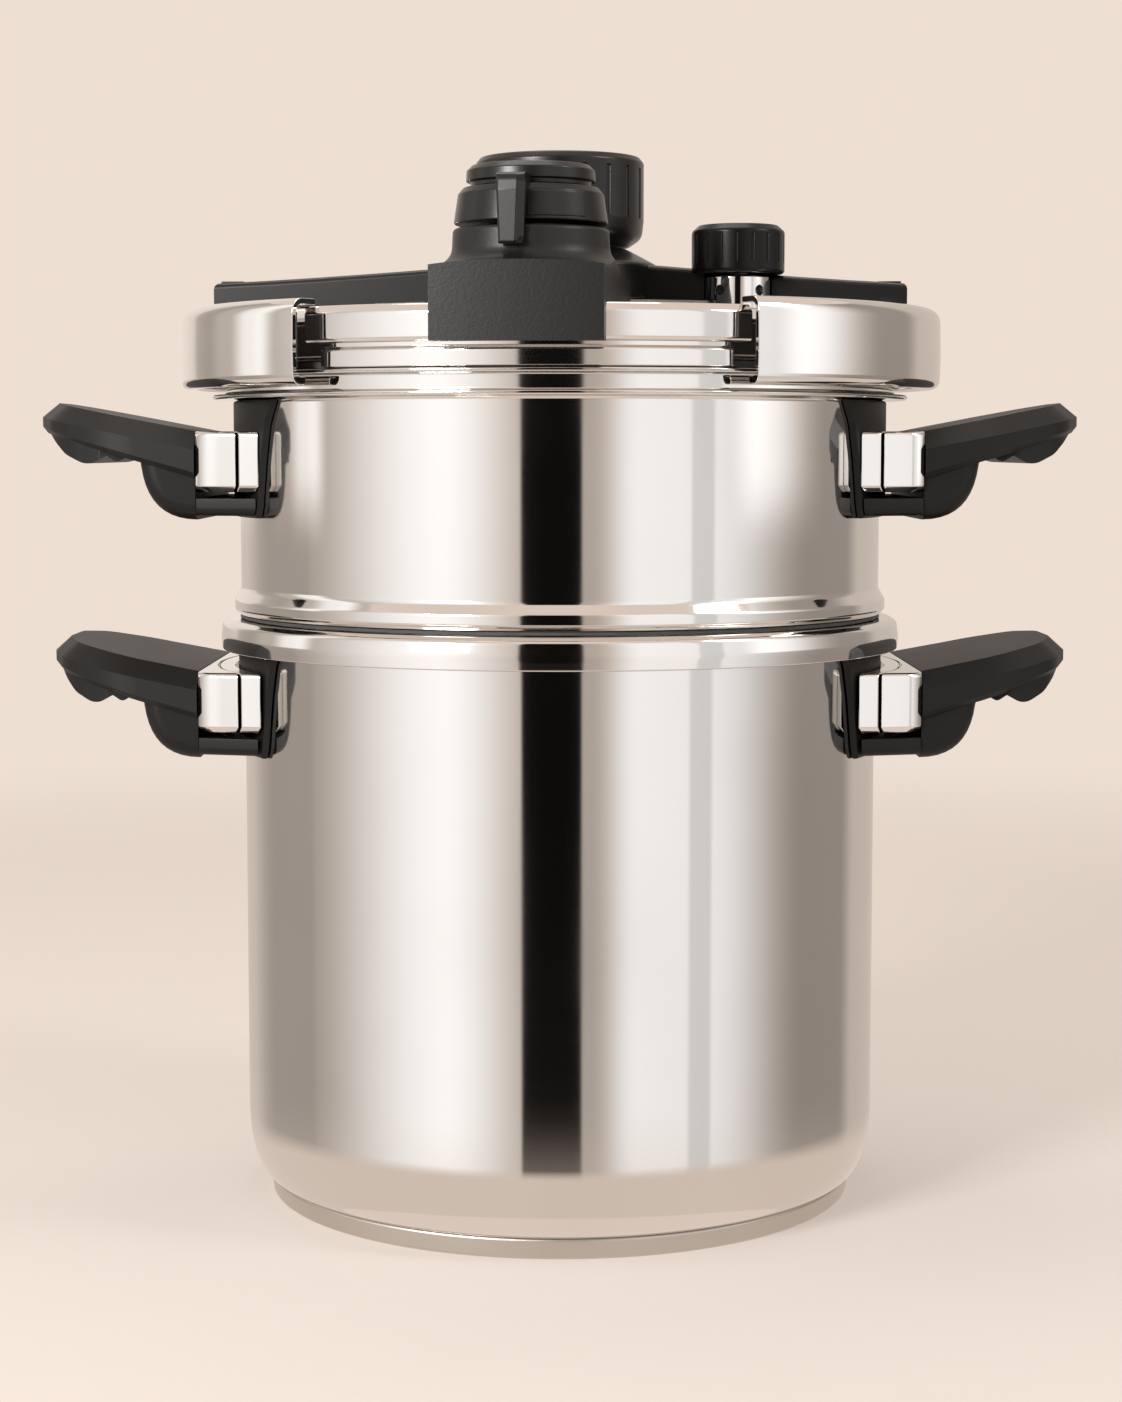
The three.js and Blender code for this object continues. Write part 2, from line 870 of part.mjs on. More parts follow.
const lid = assembly(
  piece("lid_shell", lidShell(), polishedSteel),
  piece("lid_gasket", lidGasket(), greyRubber),
  piece("lid_band_front", lidBand(-90), polishedSteel),
  piece("lid_band_rear", lidBand(90), polishedSteel),
  piece("bridge_arms", bridgeArms(), blackPlastic),
  piece("front_housing", frontHousing(), blackPlastic),
  piece("main_knob", mainKnob(), blackPlastic),
  piece("knob_spindle", knobSpindle(), satinSteel),
  piece("spindle_bush", spindleBush(), brass),
  jawPair(),
  guideRight,
  guideLeft,
  postFront,
  postRear,
  screwFront,
  screwRear,
  turret,
  regulator,
  indicator,
  safety,
);
lid.rotation.z = THREE.MathUtils.degToRad(lidTurn);

const pressureCanner = assembly(lowerPot, upperTier, lid);

export default pressureCanner;
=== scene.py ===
import json
import math
import bpy
from mathutils import Matrix, Vector


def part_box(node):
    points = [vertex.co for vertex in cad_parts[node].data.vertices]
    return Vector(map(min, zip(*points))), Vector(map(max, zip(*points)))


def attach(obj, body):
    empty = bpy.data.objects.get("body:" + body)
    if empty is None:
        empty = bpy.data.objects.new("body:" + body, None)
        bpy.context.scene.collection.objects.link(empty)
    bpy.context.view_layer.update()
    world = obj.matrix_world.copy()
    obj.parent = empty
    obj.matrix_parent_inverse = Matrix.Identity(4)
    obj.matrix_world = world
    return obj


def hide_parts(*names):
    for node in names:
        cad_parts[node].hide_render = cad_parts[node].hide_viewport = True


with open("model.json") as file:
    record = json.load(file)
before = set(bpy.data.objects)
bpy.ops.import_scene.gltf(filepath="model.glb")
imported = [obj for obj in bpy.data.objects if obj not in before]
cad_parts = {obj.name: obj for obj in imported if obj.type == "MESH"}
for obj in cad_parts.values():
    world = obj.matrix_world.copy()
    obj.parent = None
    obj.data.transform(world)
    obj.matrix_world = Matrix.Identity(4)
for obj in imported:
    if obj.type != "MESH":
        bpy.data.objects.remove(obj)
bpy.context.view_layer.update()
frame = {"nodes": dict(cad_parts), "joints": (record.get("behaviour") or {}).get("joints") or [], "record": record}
mm = 0.001


# Places from the frame, in millimetres.
def low(node):
    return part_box(node)[0] / mm


def high(node):
    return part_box(node)[1] / mm


def jointNamed(name):
    return next(joint for joint in frame["joints"] if joint["name"] == name)


jawAxis = jointNamed("jaw_left_slide")["axis"]
lidTurn = math.atan2(jawAxis[1], jawAxis[0])  # the lid's front is turned a little to the left
jawTravel = jointNamed("jaw_left_slide")["range_m"][1] / mm


def deselectAll():
    bpy.ops.object.select_all(action="DESELECT")


def pick(piece):
    deselectAll()
    piece.select_set(True)
    bpy.context.view_layer.objects.active = piece


# Starts from one vertex at the first point and draws edges from point to point, leaving edit mode on.
def drawLine(name, points):
    deselectAll()
    bpy.ops.mesh.primitive_plane_add(size=mm, location=(0, 0, 0))
    piece = bpy.context.active_object
    piece.name = name
    piece.data.name = name
    bpy.ops.object.mode_set(mode="EDIT")
    bpy.ops.mesh.select_all(action="SELECT")
    bpy.ops.mesh.merge(type="CENTER")
    here = Vector((0, 0, 0))
    spots = [Vector(point) * mm for point in points]
    bpy.ops.transform.translate(value=spots[0] - here)
    for before, after in zip(spots, spots[1:]):
        bpy.ops.mesh.extrude_region_move(TRANSFORM_OT_translate={"value": after - before})
    return piece


def tidyMesh(piece):
    bpy.ops.object.mode_set(mode="EDIT")
    bpy.ops.mesh.select_all(action="SELECT")
    bpy.ops.mesh.remove_doubles(threshold=0.004 * mm)
    bpy.ops.mesh.normals_make_consistent(inside=False)
    bpy.ops.object.mode_set(mode="OBJECT")


# Spins an outline of (radius, height) about Z: all the way round, or by half each side of middle.
def turn(name, outline, steps=128, half=180, middle=0):
    start = math.radians(middle - half)
    points = [(r * math.cos(start), r * math.sin(start), z) for r, z in outline]
    if outline[0][0] != 0:
        points.append(points[0])
    piece = drawLine(name, points)
    bpy.ops.mesh.select_all(action="SELECT")
    bpy.ops.mesh.spin(steps=steps, angle=math.radians(2 * half), center=(0, 0, 0), axis=(0, 0, -1))
    tidyMesh(piece)
    if half < 180:
        bpy.ops.object.mode_set(mode="EDIT")
        bpy.ops.mesh.select_all(action="SELECT")
        bpy.ops.mesh.fill_holes(sides=0)
        bpy.ops.object.mode_set(mode="OBJECT")
        tidyMesh(piece)
    return piece


# A flat outline of corners, filled and pushed along a vector.
def slab(name, corners, push):
    piece = drawLine(name, list(corners) + [corners[0]])
    bpy.ops.mesh.select_all(action="SELECT")
    bpy.ops.mesh.remove_doubles(threshold=0.004 * mm)
    bpy.ops.mesh.select_all(action="SELECT")
    bpy.ops.mesh.edge_face_add()
    bpy.ops.mesh.extrude_region_move(TRANSFORM_OT_translate={"value": Vector(push) * mm})
    tidyMesh(piece)
    return piece


def cube(name, lowCorner, highCorner):
    deselectAll()
    lowCorner, highCorner = Vector(lowCorner) * mm, Vector(highCorner) * mm
    bpy.ops.mesh.primitive_cube_add(size=1, location=(lowCorner + highCorner) / 2)
    piece = bpy.context.active_object
    piece.name = name
    piece.data.name = name
    piece.scale = highCorner - lowCorner
    bake(piece)
    return piece


def rod(name, radius, start, end, sides=32):
    deselectAll()
    start, end = Vector(start) * mm, Vector(end) * mm
    along = end - start
    bpy.ops.mesh.primitive_cylinder_add(
        vertices=sides, radius=radius * mm, depth=along.length, location=(start + end) / 2,
        rotation=along.to_track_quat("Z", "Y").to_euler())
    piece = bpy.context.active_object
    piece.name = name
    piece.data.name = name
    bake(piece)
    return piece


# Writes an object's place and turn into its mesh.
def bake(piece):
    pick(piece)
    bpy.ops.object.transform_apply(location=True, rotation=True, scale=True)


def place(piece, x=0, y=0, z=0, angle=0, about=(0, 0, 0)):
    centre = Vector(about) * mm
    shift = Matrix.Translation(Vector((x, y, z)) * mm)
    spin = Matrix.Translation(centre) @ Matrix.Rotation(angle, 4, "Z") @ Matrix.Translation(-centre)
    piece.matrix_world = spin @ shift
    bake(piece)
    return piece


def copyOf(piece, name):
    pick(piece)
    bpy.ops.object.duplicate(linked=False)
    twin = bpy.context.active_object
    twin.name = name
    twin.data.name = name
    return twin


def joinAll(first, *others):
    pick(first)
    for other in others:
        other.select_set(True)
    bpy.ops.object.join()
    return first


def applyModifier(piece, kind, **settings):
    pick(piece)
    modifier = piece.modifiers.new(kind, kind)
    for key, value in settings.items():
        setattr(modifier, key, value)
    bpy.ops.object.modifier_apply(modifier=modifier.name)


def carve(piece, tool, operation="DIFFERENCE"):
    applyModifier(piece, "BOOLEAN", object=tool, operation=operation, solver="EXACT")
    bpy.data.objects.remove(tool)


def soften(piece, width, segments=3, angle=30):
    applyModifier(piece, "BEVEL", width=width * mm, segments=segments, limit_method="ANGLE",
                  angle_limit=math.radians(angle), use_clamp_overlap=True, harden_normals=False)


# Bevels the edges whose two ends and middle all pass the test.
def cutEdges(piece, test, width, segments=1):
    pick(piece)
    bpy.ops.object.mode_set(mode="EDIT")
    bpy.ops.mesh.select_mode(type="EDGE")
    bpy.ops.mesh.select_all(action="DESELECT")
    bpy.ops.object.mode_set(mode="OBJECT")
    corners = piece.data.vertices
    for edge in piece.data.edges:
        start, end = (corners[i].co / mm for i in edge.vertices)
        edge.select = all(test(*spot) for spot in (start, end, (start + end) / 2))
    bpy.ops.object.mode_set(mode="EDIT")
    bpy.ops.mesh.bevel(offset=width * mm, segments=segments, affect="EDGES")
    bpy.ops.mesh.select_mode(type="VERT")
    bpy.ops.object.mode_set(mode="OBJECT")


def smooth(piece, angle=32):
    pick(piece)
    bpy.ops.object.shade_smooth_by_angle(angle=math.radians(angle))


# Turns corners (a, b, radius) into arcs; a support point beside each arc keeps long faces flat.
def rounded(corners, closed=True, steps=6, support=0.35):
    points = []
    count = len(corners)
    for i, corner in enumerate(corners):
        spot = Vector(corner[:2])
        radius = corner[2] if len(corner) > 2 else 0
        ends = i in (0, count - 1) and not closed
        if radius == 0 or ends:
            points.append(tuple(spot))
            continue
        before = Vector(corners[i - 1][:2]) - spot
        after = Vector(corners[(i + 1) % count][:2]) - spot
        half = before.angle(after) / 2
        reach = min(radius / math.tan(half), before.length * 0.49, after.length * 0.49)
        radius = reach * math.tan(half)
        before.normalize()
        after.normalize()
        centre = spot + (before + after).normalized() * (radius / math.sin(half))
        first = spot + before * reach - centre
        last = spot + after * reach - centre
        sweep = math.pi - 2 * half
        points.append(tuple(centre + first + before * support))
        for step in range(steps + 1):
            share = step / steps
            arm = first * math.sin((1 - share) * sweep) + last * math.sin(share * sweep)
            points.append(tuple(centre + arm / math.sin(sweep)))
        points.append(tuple(centre + last + after * support))
    return points


# A smooth stretch between two points, pulled by two others.
def bow(start, pullStart, pullEnd, end, steps=12):
    points = []
    for step in range(steps + 1):
        t = step / steps
        u = 1 - t
        weights = (u ** 3, 3 * u * u * t, 3 * u * t * t, t ** 3)
        spots = (start, pullStart, pullEnd, end)
        points.append(tuple(sum(w * s[axis] for w, s in zip(weights, spots)) for axis in (0, 1)))
    return points


class Wire:
    # a node's output that can stand in a sum

    def __init__(self, finish, socket):
        self.finish = finish
        self.socket = socket

    def reckon(self, operation, first, second=0.0):
        return self.finish.node("ShaderNodeMath", {"operation": operation}, {0: first, 1: second})

    def __add__(self, other):
        return self.reckon("ADD", self, other)

    __radd__ = __add__

    def __sub__(self, other):
        return self.reckon("SUBTRACT", self, other)

    def __rsub__(self, other):
        return self.reckon("SUBTRACT", other, self)

    def __mul__(self, other):
        return self.reckon("MULTIPLY", self, other)

    __rmul__ = __mul__

    def __truediv__(self, other):
        return self.reckon("DIVIDE", self, other)

    def __pow__(self, other):
        return self.reckon("POWER", self, other)


class Finish:
    # a material under construction

    def __init__(self, name):
        self.material = bpy.data.materials.new(name)
        self.material.use_nodes = True
        self.tree = self.material.node_tree
        self.shader = self.tree.nodes["Principled BSDF"]

    def join(self, value, socket):
        if isinstance(value, Wire):
            self.tree.links.new(value.socket, socket)
        else:
            socket.default_value = value

    def node(self, kind, settings=None, inputs=None, output=0):
        made = self.tree.nodes.new(kind)
        for key, value in (settings or {}).items():
            if key == "stops":
                ramp = made.color_ramp
                for place, colour in value[2:]:
                    ramp.elements.new(place)
                for element, (place, colour) in zip(ramp.elements, sorted(value)):
                    element.position = place
                    element.color = (*colour, 1)
            else:
                setattr(made, key, value)
        for key, value in (inputs or {}).items():
            self.join(value, made.inputs[key])
        return Wire(self, made.outputs[output])

    def wear(self, **sockets):
        for key, value in sockets.items():
            self.join(value, self.shader.inputs[key.replace("_", " ")])

    def place(self):
        return self.node("ShaderNodeTexCoord", output="Object")

    def axes(self):
        split = self.node("ShaderNodeSeparateXYZ", inputs={0: self.place()})
        node = split.socket.node
        return [Wire(self, node.outputs[i]) for i in range(3)]

    def noise(self, scale, detail=3, roughness=0.5, vector=None):
        return self.node("ShaderNodeTexNoise", inputs={
            "Vector": vector or self.place(), "Scale": scale,
            "Detail": detail, "Roughness": roughness})

    def ramp(self, value, fromLow, fromHigh, toLow=0.0, toHigh=1.0):
        return self.node("ShaderNodeMapRange", {"interpolation_type": "SMOOTHSTEP"}, {
            "Value": value, "From Min": fromLow, "From Max": fromHigh,
            "To Min": toLow, "To Max": toHigh})

    def blend(self, share, first, second):
        colours = {0: share, 6: (*first, 1), 7: (*second, 1)}
        return self.node("ShaderNodeMix", {"data_type": "RGBA"}, colours, 2)

    def bump(self, height, strength, distance):
        return self.node("ShaderNodeBump", inputs={
            "Height": height, "Strength": strength, "Distance": distance})


# Mirror-polished stainless: almost even, with faint turning marks and the haze of handling.
def polishedSteel(name, roughness=0.045, haze=0.03):
    finish = Finish(name)
    cloud = finish.noise(14, 3)
    hairline = finish.node("ShaderNodeMapping", inputs={
        "Vector": finish.place(), "Scale": (20, 20, 1600)})
    marks = finish.noise(1, 2, 0.6, hairline)
    mask = finish.ramp(cloud, 0.35, 0.75)
    finish.wear(
        Base_Color=finish.blend(mask, (0.80, 0.775, 0.75), (0.77, 0.742, 0.715)),
        Metallic=1.0,
        Roughness=roughness + haze * mask + 0.02 * marks,
        Normal=finish.bump(marks, 0.02, 0.00002))
    return finish.material


# Turned satin stainless, with rings about the pot's axis.
def satinSteel(name, roughness=0.3):
    finish = Finish(name)
    x, y, z = finish.axes()
    radius = (x * x + y * y) ** 0.5
    rings = finish.node("ShaderNodeCombineXYZ", inputs={0: radius * 2200, 1: z * 2200, 2: x * 6})
    marks = finish.noise(1, 3, 0.6, rings)
    cloud = finish.noise(25, 3)
    finish.wear(
        Base_Color=finish.blend(cloud, (0.66, 0.615, 0.57), (0.56, 0.52, 0.48)),
        Metallic=1.0,
        Roughness=roughness + 0.14 * marks,
        Normal=finish.bump(marks, 0.22, 0.00004))
    return finish.material


# Moulded black phenolic: a fine even grain, and a slight brown cast where the light catches it.
def phenolic(name, grain=0.35, roughness=0.3, size=900, gloss=0.5):
    finish = Finish(name)
    pebbles = finish.noise(size, 2, 0.6)
    fine = finish.noise(size * 2.7, 2, 0.6)
    cloud = finish.noise(18, 3)
    finish.wear(
        Base_Color=finish.blend(cloud, (0.0075, 0.007, 0.0065), (0.0045, 0.0042, 0.004)),
        Roughness=roughness + 0.07 * cloud + 0.06 * fine,
        Normal=finish.bump(pebbles * 0.7 + fine * 0.3, grain, 0.00012))
    finish.shader.inputs["Specular IOR Level"].default_value = gloss
    return finish.material


def brassFinish(name):
    finish = Finish(name)
    cloud = finish.noise(60, 4)
    finish.wear(
        Base_Color=finish.blend(cloud, (0.62, 0.45, 0.19), (0.48, 0.34, 0.15)),
        Metallic=1.0,
        Roughness=0.22 + 0.15 * cloud)
    return finish.material


def siliconeFinish(name):
    finish = Finish(name)
    dust = finish.noise(300, 3)
    finish.wear(
        Base_Color=finish.blend(dust, (0.028, 0.027, 0.026), (0.045, 0.043, 0.04)),
        Roughness=0.55 + 0.2 * dust,
        Normal=finish.bump(dust, 0.1, 0.0001))
    return finish.material


mirror = polishedSteel("polished steel")
jawMirror = polishedSteel("polished jaw steel", 0.05, 0.02)
satin = satinSteel("satin steel")
grained = phenolic("grained phenolic", 0.6, 0.36, 700, 0.38)
smoothBlack = phenolic("satin phenolic", 0.16, 0.24, 1300, 0.38)
gripBlack = phenolic("grip phenolic", 0.25, 0.42, 1100, 0.24)
capBlack = phenolic("cap phenolic", 0.16, 0.2, 1300, 0.18)
brass = brassFinish("turned brass")
silicone = siliconeFinish("dark silicone")


# Gives a finished piece its look and its body, and hides the nodes it stands for.
def deliver(piece, body, slot, look, *nodes, angle=32):
    smooth(piece, angle)
    applyModifier(piece, "WEIGHTED_NORMAL", keep_sharp=True)
    piece.data.materials.clear()
    piece.data.materials.append(look)
    for face in piece.data.polygons:
        face.material_index = 0
    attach(piece, body)
    if nodes:
        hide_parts(*nodes)
    return piece


potValues = {
    "sheet": 1.2,
    "cornerTop": 34,
    "rimRadius": high("lower_pot_shell").x,
    "rimBottom": 208,
    "rimTop": high("lower_pot_shell").z,
    "bodyRadius": 120,
    "floor": low("lower_pot_shell").z,
    "floorRadius": 112.5,
}


def buildLowerPot(v):
    body, inside = v["bodyRadius"], v["bodyRadius"] - v["sheet"]
    rim, top, floor = v["rimRadius"], v["rimTop"], v["floor"]
    corner = bow((v["floorRadius"], floor), (116.8, floor + 1.6),
                 (body, 19), (body, v["cornerTop"]))
    outer = rounded([
        (body, v["cornerTop"]),
        (body, 216.2, 1.5),
        (rim - 1.4, 216.4, 1),
        (rim - 1.3, v["rimBottom"] + 0.1, 0.3),
        (rim - 0.5, v["rimBottom"], 0.5),
        (rim, v["rimBottom"] + 4.5, 12),
        (rim - 0.7, top - 1.6, 2.2),
        (rim - 3.2, top, 2.2),
        (122.6, top, 0.6),
        (inside, top, 0.8),
        (inside, v["cornerTop"]),
    ], closed=False)
    inner = bow((inside, v["cornerTop"]), (inside, 19.5),
                (115.4, floor + 3), (111, floor + v["sheet"]))
    outline = [(0, floor)] + corner[:-1] + outer + inner[1:] + [(0, floor + v["sheet"])]
    pot = turn("lowerPot", outline, 160)
    return deliver(pot, "lower_pot", "polished_steel", mirror, "lower_pot_shell")


baseValues = {"radius": 111.2, "top": high("base_disc").z, "edge": 0.9}


def buildBase(v):
    disc = turn("baseDisc", rounded([
        (0, 0),
        (v["radius"] - 0.2, 0, v["edge"]),
        (v["radius"] + 0.9, v["top"], v["edge"]),
        (0, v["top"]),
    ], closed=False), 160)
    return deliver(disc, "lower_pot", "satin_steel", satin, "base_disc")


tierValues = {
    "sheet": 1.2,
    "bodyRadius": 121.1,
    "skirtRadius": 118.2,
    "foot": low("upper_pot_shell").z,
    "shoulder": 221.2,
    "hemBottom": 301,
    "hemRadius": high("upper_pot_shell").x,
    "grooveRadius": 126.5,
    "flangeRadius": 131,
    "top": high("upper_pot_shell").z,
}


def buildUpperPot(v):
    body, inside = v["bodyRadius"], v["bodyRadius"] - v["sheet"]
    skirt, foot, shoulder = v["skirtRadius"], v["foot"], v["shoulder"]
    hem, top = v["hemBottom"], v["top"]
    pot = turn("upperPot", rounded([
        (106, foot, 0.4),
        (skirt, foot, 1.5),
        (skirt, shoulder, 0.4),
        (121.9, shoulder, 0.7),
        (123.5, shoulder + 1.9, 1.4),
        (123.5, shoulder + 5.4, 1.8),
        (body, shoulder + 9.4, 3.5),
        (body, hem, 1.4),
        (v["hemRadius"], hem, 0.7),
        (v["hemRadius"], hem + 1.7, 0.7),
        (v["grooveRadius"], hem + 1.7, 0.9),
        (v["grooveRadius"], top - 1.5, 0.9),
        (v["flangeRadius"], top - 1.5, 0.6),
        (v["flangeRadius"], top, 0.6),
        (inside, top, 1),
        (inside, shoulder + 9.8, 3),
        (122.3, shoulder + 5, 1.5),
        (122.3, shoulder + 2.2, 1),
        (121.3, shoulder + 1.2, 0.6),
        (skirt - v["sheet"], shoulder + 1.2, 0.4),
        (skirt - v["sheet"], foot + v["sheet"], 0.6),
        (106, foot + v["sheet"], 0.4),
    ]), 160)
    return deliver(pot, "upper_tier", "polished_steel", mirror, "upper_pot_shell")


def holeTools(circles, bottom, top):
    tools = []
    for count, ring, radius in circles:
        for i in range(count):
            angle = 2 * math.pi * i / count
            x, y = ring * math.cos(angle), ring * math.sin(angle)
            tools.append(rod("holeTool", radius, (x, y, bottom), (x, y, top), 24))
    return joinAll(*tools) if len(tools) > 1 else tools[0]


rackValues = {
    "foot": low("canning_rack").z,
    "top": high("canning_rack").z,
    "circles": [(1, 1, 12), (6, 42, 8), (11, 78, 9)],
}


def buildRack(v):
    plate = v["top"] - 1.4
    rack = turn("canningRack", rounded([
        (0, plate),
        (103.4, plate, 2),
        (103.4, v["foot"], 0.4),
        (104.5, v["foot"], 0.4),
        (106, v["top"], 2),
        (0, v["top"]),
    ], closed=False), 112)
    carve(rack, holeTools(v["circles"], plate - 3, v["top"] + 3))
    soften(rack, 0.25, 2)
    return deliver(rack, "canning_rack", "satin_steel", satin, "canning_rack")


trayValues = {
    "bottom": low("steam_tray").z,
    "radius": 116.2,
    "circles": [(1, 1, 9), (7, 40, 8), (12, 80, 8)],
}


def buildTray(v):
    bottom, radius = v["bottom"], v["radius"]
    tray = turn("steamTray", rounded([
        (0, bottom),
        (radius, bottom, 1.6),
        (radius, bottom + 6, 0.5),
        (radius - 1.2, bottom + 6, 0.5),
        (radius - 1.2, bottom + 1.2, 1),
        (0, bottom + 1.2),
    ], closed=False), 128)
    carve(tray, holeTools(v["circles"], bottom - 3, bottom + 4))
    soften(tray, 0.25, 2)
    return deliver(tray, "steam_tray", "satin_steel", satin, "steam_tray")


lidValues = {
    "top": high("lid_shell").z,
    "radius": 125.5,
    "flange": 127.6,
    "skirt": 118.9,
    "sheet": 1.2,
}


def buildLid(v):
    top, radius, inside = v["top"], v["radius"], v["radius"] - v["sheet"]
    skirt = v["skirt"]
    lid = turn("lidShell", rounded([
        (0, top),
        (112, top - 0.3, 20),
        (121, top - 0.8, 6),
        (radius, top - 5, 5),
        (radius, 314.6, 0.5),
        (v["flange"], 314.6, 0.5),
        (v["flange"], 313.1, 0.5),
        (skirt, 313.1, 1),
        (skirt, 305.5, 0.4),
        (skirt - v["sheet"], 305.5, 0.4),
        (skirt - v["sheet"], 314.6, 1),
        (inside, 314.6, 1),
        (inside, top - 5.6, 4),
        (120.4, top - 2, 5),
        (112, top - 1.5, 20),
        (0, top - v["sheet"]),
    ], closed=False), 160)
    vent, stem, pin, valve = (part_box(node) for node in
                              ("vent_pipe", "regulator_nut", "indicator_pin", "safety_nut"))
    holes = []
    for (start, end), radius in ((vent, 3.3), (stem, 3.3), (pin, 2.6), (valve, 4.1)):
        middle = (start + end) / 2 / mm
        holes.append(rod("lidHole", radius, (middle.x, middle.y, 320), (middle.x, middle.y, 340)))
    carve(lid, joinAll(*holes))
    return deliver(lid, "lid", "polished_steel", mirror, "lid_shell")


bandValues = {"upperHalf": 36.3, "lowerHalf": 33.4, "endRound": 1.6}


# A ribbed band: the upper and the lower rib are turned apart, because the lower one ends sooner.
def buildBand(v, name, node, middle):
    top, bottom = high(node).z, low(node).z
    upper = turn(name, rounded([
        (126.3, top, 0.5),
        (128, top, 1.6),
        (130.3, top - 2.6, 2),
        (130.3, 320.4, 1.2),
        (129.2, 319.2, 0.5),
        (126.3, 319.2, 0.3),
    ], steps=5), 48, v["upperHalf"], middle)
    lower = turn(name + "Lower", rounded([
        (126, 319.2),
        (127.6, 319.2),
        (127.4, 317.6, 0.5),
        (129.1, 316.6, 1),
        (129.1, bottom, 0.7),
        (127.9, bottom, 0.4),
        (127.9, 316.2, 0.4),
        (126, 316.6),
    ], steps=5), 48, v["lowerHalf"], middle)
    soften(upper, v["endRound"], 4, 60)
    soften(lower, 0.5, 3, 60)
    band = place(joinAll(upper, lower), angle=lidTurn)
    return deliver(band, "lid", "polished_steel", jawMirror, node, angle=40)


jawValues = {
    "outer": 134.2,
    "sheet": 2.2,
    "half": 58.3,
    "bottom": low("jaw_right").z,
    "top": high("jaw_right").z,
    "upperLip": 122.2,
    "lowerLip": 127.3,
    "tongueTop": 0.1,
    "tongueThick": 2,
    "crown": 0.35,
    "lining": 1.2,
}


def buildJaw(v, side, sign):
    outer, inner = v["outer"], v["outer"] - v["sheet"]
    top, bottom, sheet = v["top"], v["bottom"], v["sheet"]
    middle = (top + bottom) / 2
    jaw = turn("jaw" + side, rounded([
        (v["lowerLip"], bottom, 1),
        (outer - v["crown"], bottom, 4.4),
        (outer, middle - 3, 60),
        (outer - v["crown"], top, 5),
        (v["upperLip"], top, 1),
        (v["upperLip"], top - sheet, 1),
        (inner, top - sheet, 2.8),
        (inner, bottom + 2.7, 2.4),
        (v["lowerLip"], bottom + 2.7, 1),
    ], steps=7), 72, v["half"], 0)
    soften(jaw, 1.0, 4, 60)
    tongueTop = top - v["tongueTop"]
    tongue = slab("tongue", [(x, y, tongueTop) for x, y in rounded([
        (125, -1.5), (125, 9.5), (32, 9.5, 3), (32, -11, 3), (45, -11, 2), (45, -1.5, 2)])],
        (0, 0, -v["tongueThick"]))
    soften(tongue, 0.3, 2, 60)
    jaw = joinAll(jaw, tongue)
    place(jaw, x=jawTravel)
    place(jaw, angle=lidTurn + (0 if sign > 0 else math.pi))
    body = "jaw_right" if sign > 0 else "jaw_left"
    deliver(jaw, body, "polished_steel", jawMirror, body, angle=40)
    # A dark strip along the jaw's inner wall, seen in the gap past the jaw's ends.
    lining = turn("jawLining" + side, rounded([
        (inner - 0.1, bottom + 5.6, 0.4),
        (inner - 0.1, top - sheet - 2.6, 0.4),
        (inner - v["lining"], top - sheet - 2.6, 0.4),
        (inner - v["lining"], bottom + 5.6, 0.4),
    ], steps=3), 60, v["half"] - 0.3, 0)
    place(lining, x=jawTravel)
    place(lining, angle=lidTurn + (0 if sign > 0 else math.pi))
    return deliver(lining, body, "silicone", silicone, angle=40)


bridgeValues = {
    "reach": 130.5,
    "halfWidth": 14,
    "centreTop": 353,
    "rightEndTop": 343.9,
    "leftEndTop": 345.4,
    "hubRadius": 36,
    "hubTop": high("spindle_bush").z + 0.2,
    "housingHalf": 29.4,
    "housingFront": 136,
    "crown": 400,
    "housingBottom": low("front_housing").z,
    "housingTop": 345.1,
    "turretY": -92,
    "collarRadius": 27.3,
    "collarTop": high("front_housing").z,
}


def buildBridge(v):
    reach, half, centreTop = v["reach"], v["halfWidth"], v["centreTop"]
    underside = bow((reach, 335), (80, 337), (50, 338.6), (0, 338.7), 8)
    mirrored = [(-x, z) for x, z in reversed(underside[:-1])]
    topRight = bow((0, centreTop), (30, centreTop), (70, 347), (reach, v["rightEndTop"]), 8)
    topLeft = bow((-reach, v["leftEndTop"]), (-75, 347.6), (-30, centreTop - 1), (0, centreTop), 8)
    corners = [(x, -half, z) for x, z in underside + mirrored + topLeft[:-1] + topRight]
    arms = slab("bridge", corners, (0, 2 * half, 0))

    def isUpperRim(x, y, z):
        return z > 343 and (abs(abs(y) - half) < 0.1 or abs(x) > reach - 0.1)

    cutEdges(arms, isUpperRim, 2.2, 3)
    hub = turn("hub", rounded([
        (0, 338.9),
        (v["hubRadius"] + 1, 338.9, 1),
        (v["hubRadius"] + 1, 351.6, 2),
        (26.5, v["hubTop"] - 0.8, 2),
        (24.5, v["hubTop"], 0.6),
        (0, v["hubTop"]),
    ], closed=False), 96)
    carve(arms, hub, "UNION")
    for x, endTop in ((-124, v["leftEndTop"]), (124, v["rightEndTop"])):  # raised pads at the ends
        pad = cube("pad", (x - 4.2, -11, endTop - 2), (x + 4.2, 11, endTop + 0.8))
        carve(arms, pad, "UNION")
    channelRight = cube("channel", (50, -11.3, 330), (125, 11.3, 338.2))
    channelLeft = cube("channel", (-125, -11.3, 330), (-50, 11.3, 338.2))
    bore = rod("bore", 6.8, (0, 0, 330), (0, 0, 362))
    pin = (low("indicator_pin") + high("indicator_pin")) / 2
    stem = (low("regulator_stem") + high("regulator_stem")) / 2
    place(arms, angle=lidTurn)
    for tool in (channelRight, channelLeft, bore):
        place(tool, angle=lidTurn)
        carve(arms, tool)
    carve(arms, rod("pinHole", 2.7, (pin.x, pin.y, 330), (pin.x, pin.y, 362), 24))
    carve(arms, rod("stemNotch", 12.6, (stem.x, stem.y, 330), (stem.x, stem.y, 362), 48))
    soften(arms, 0.5, 3, 35)
    return deliver(arms, "lid", "black_phenolic", smoothBlack, "bridge_arms")


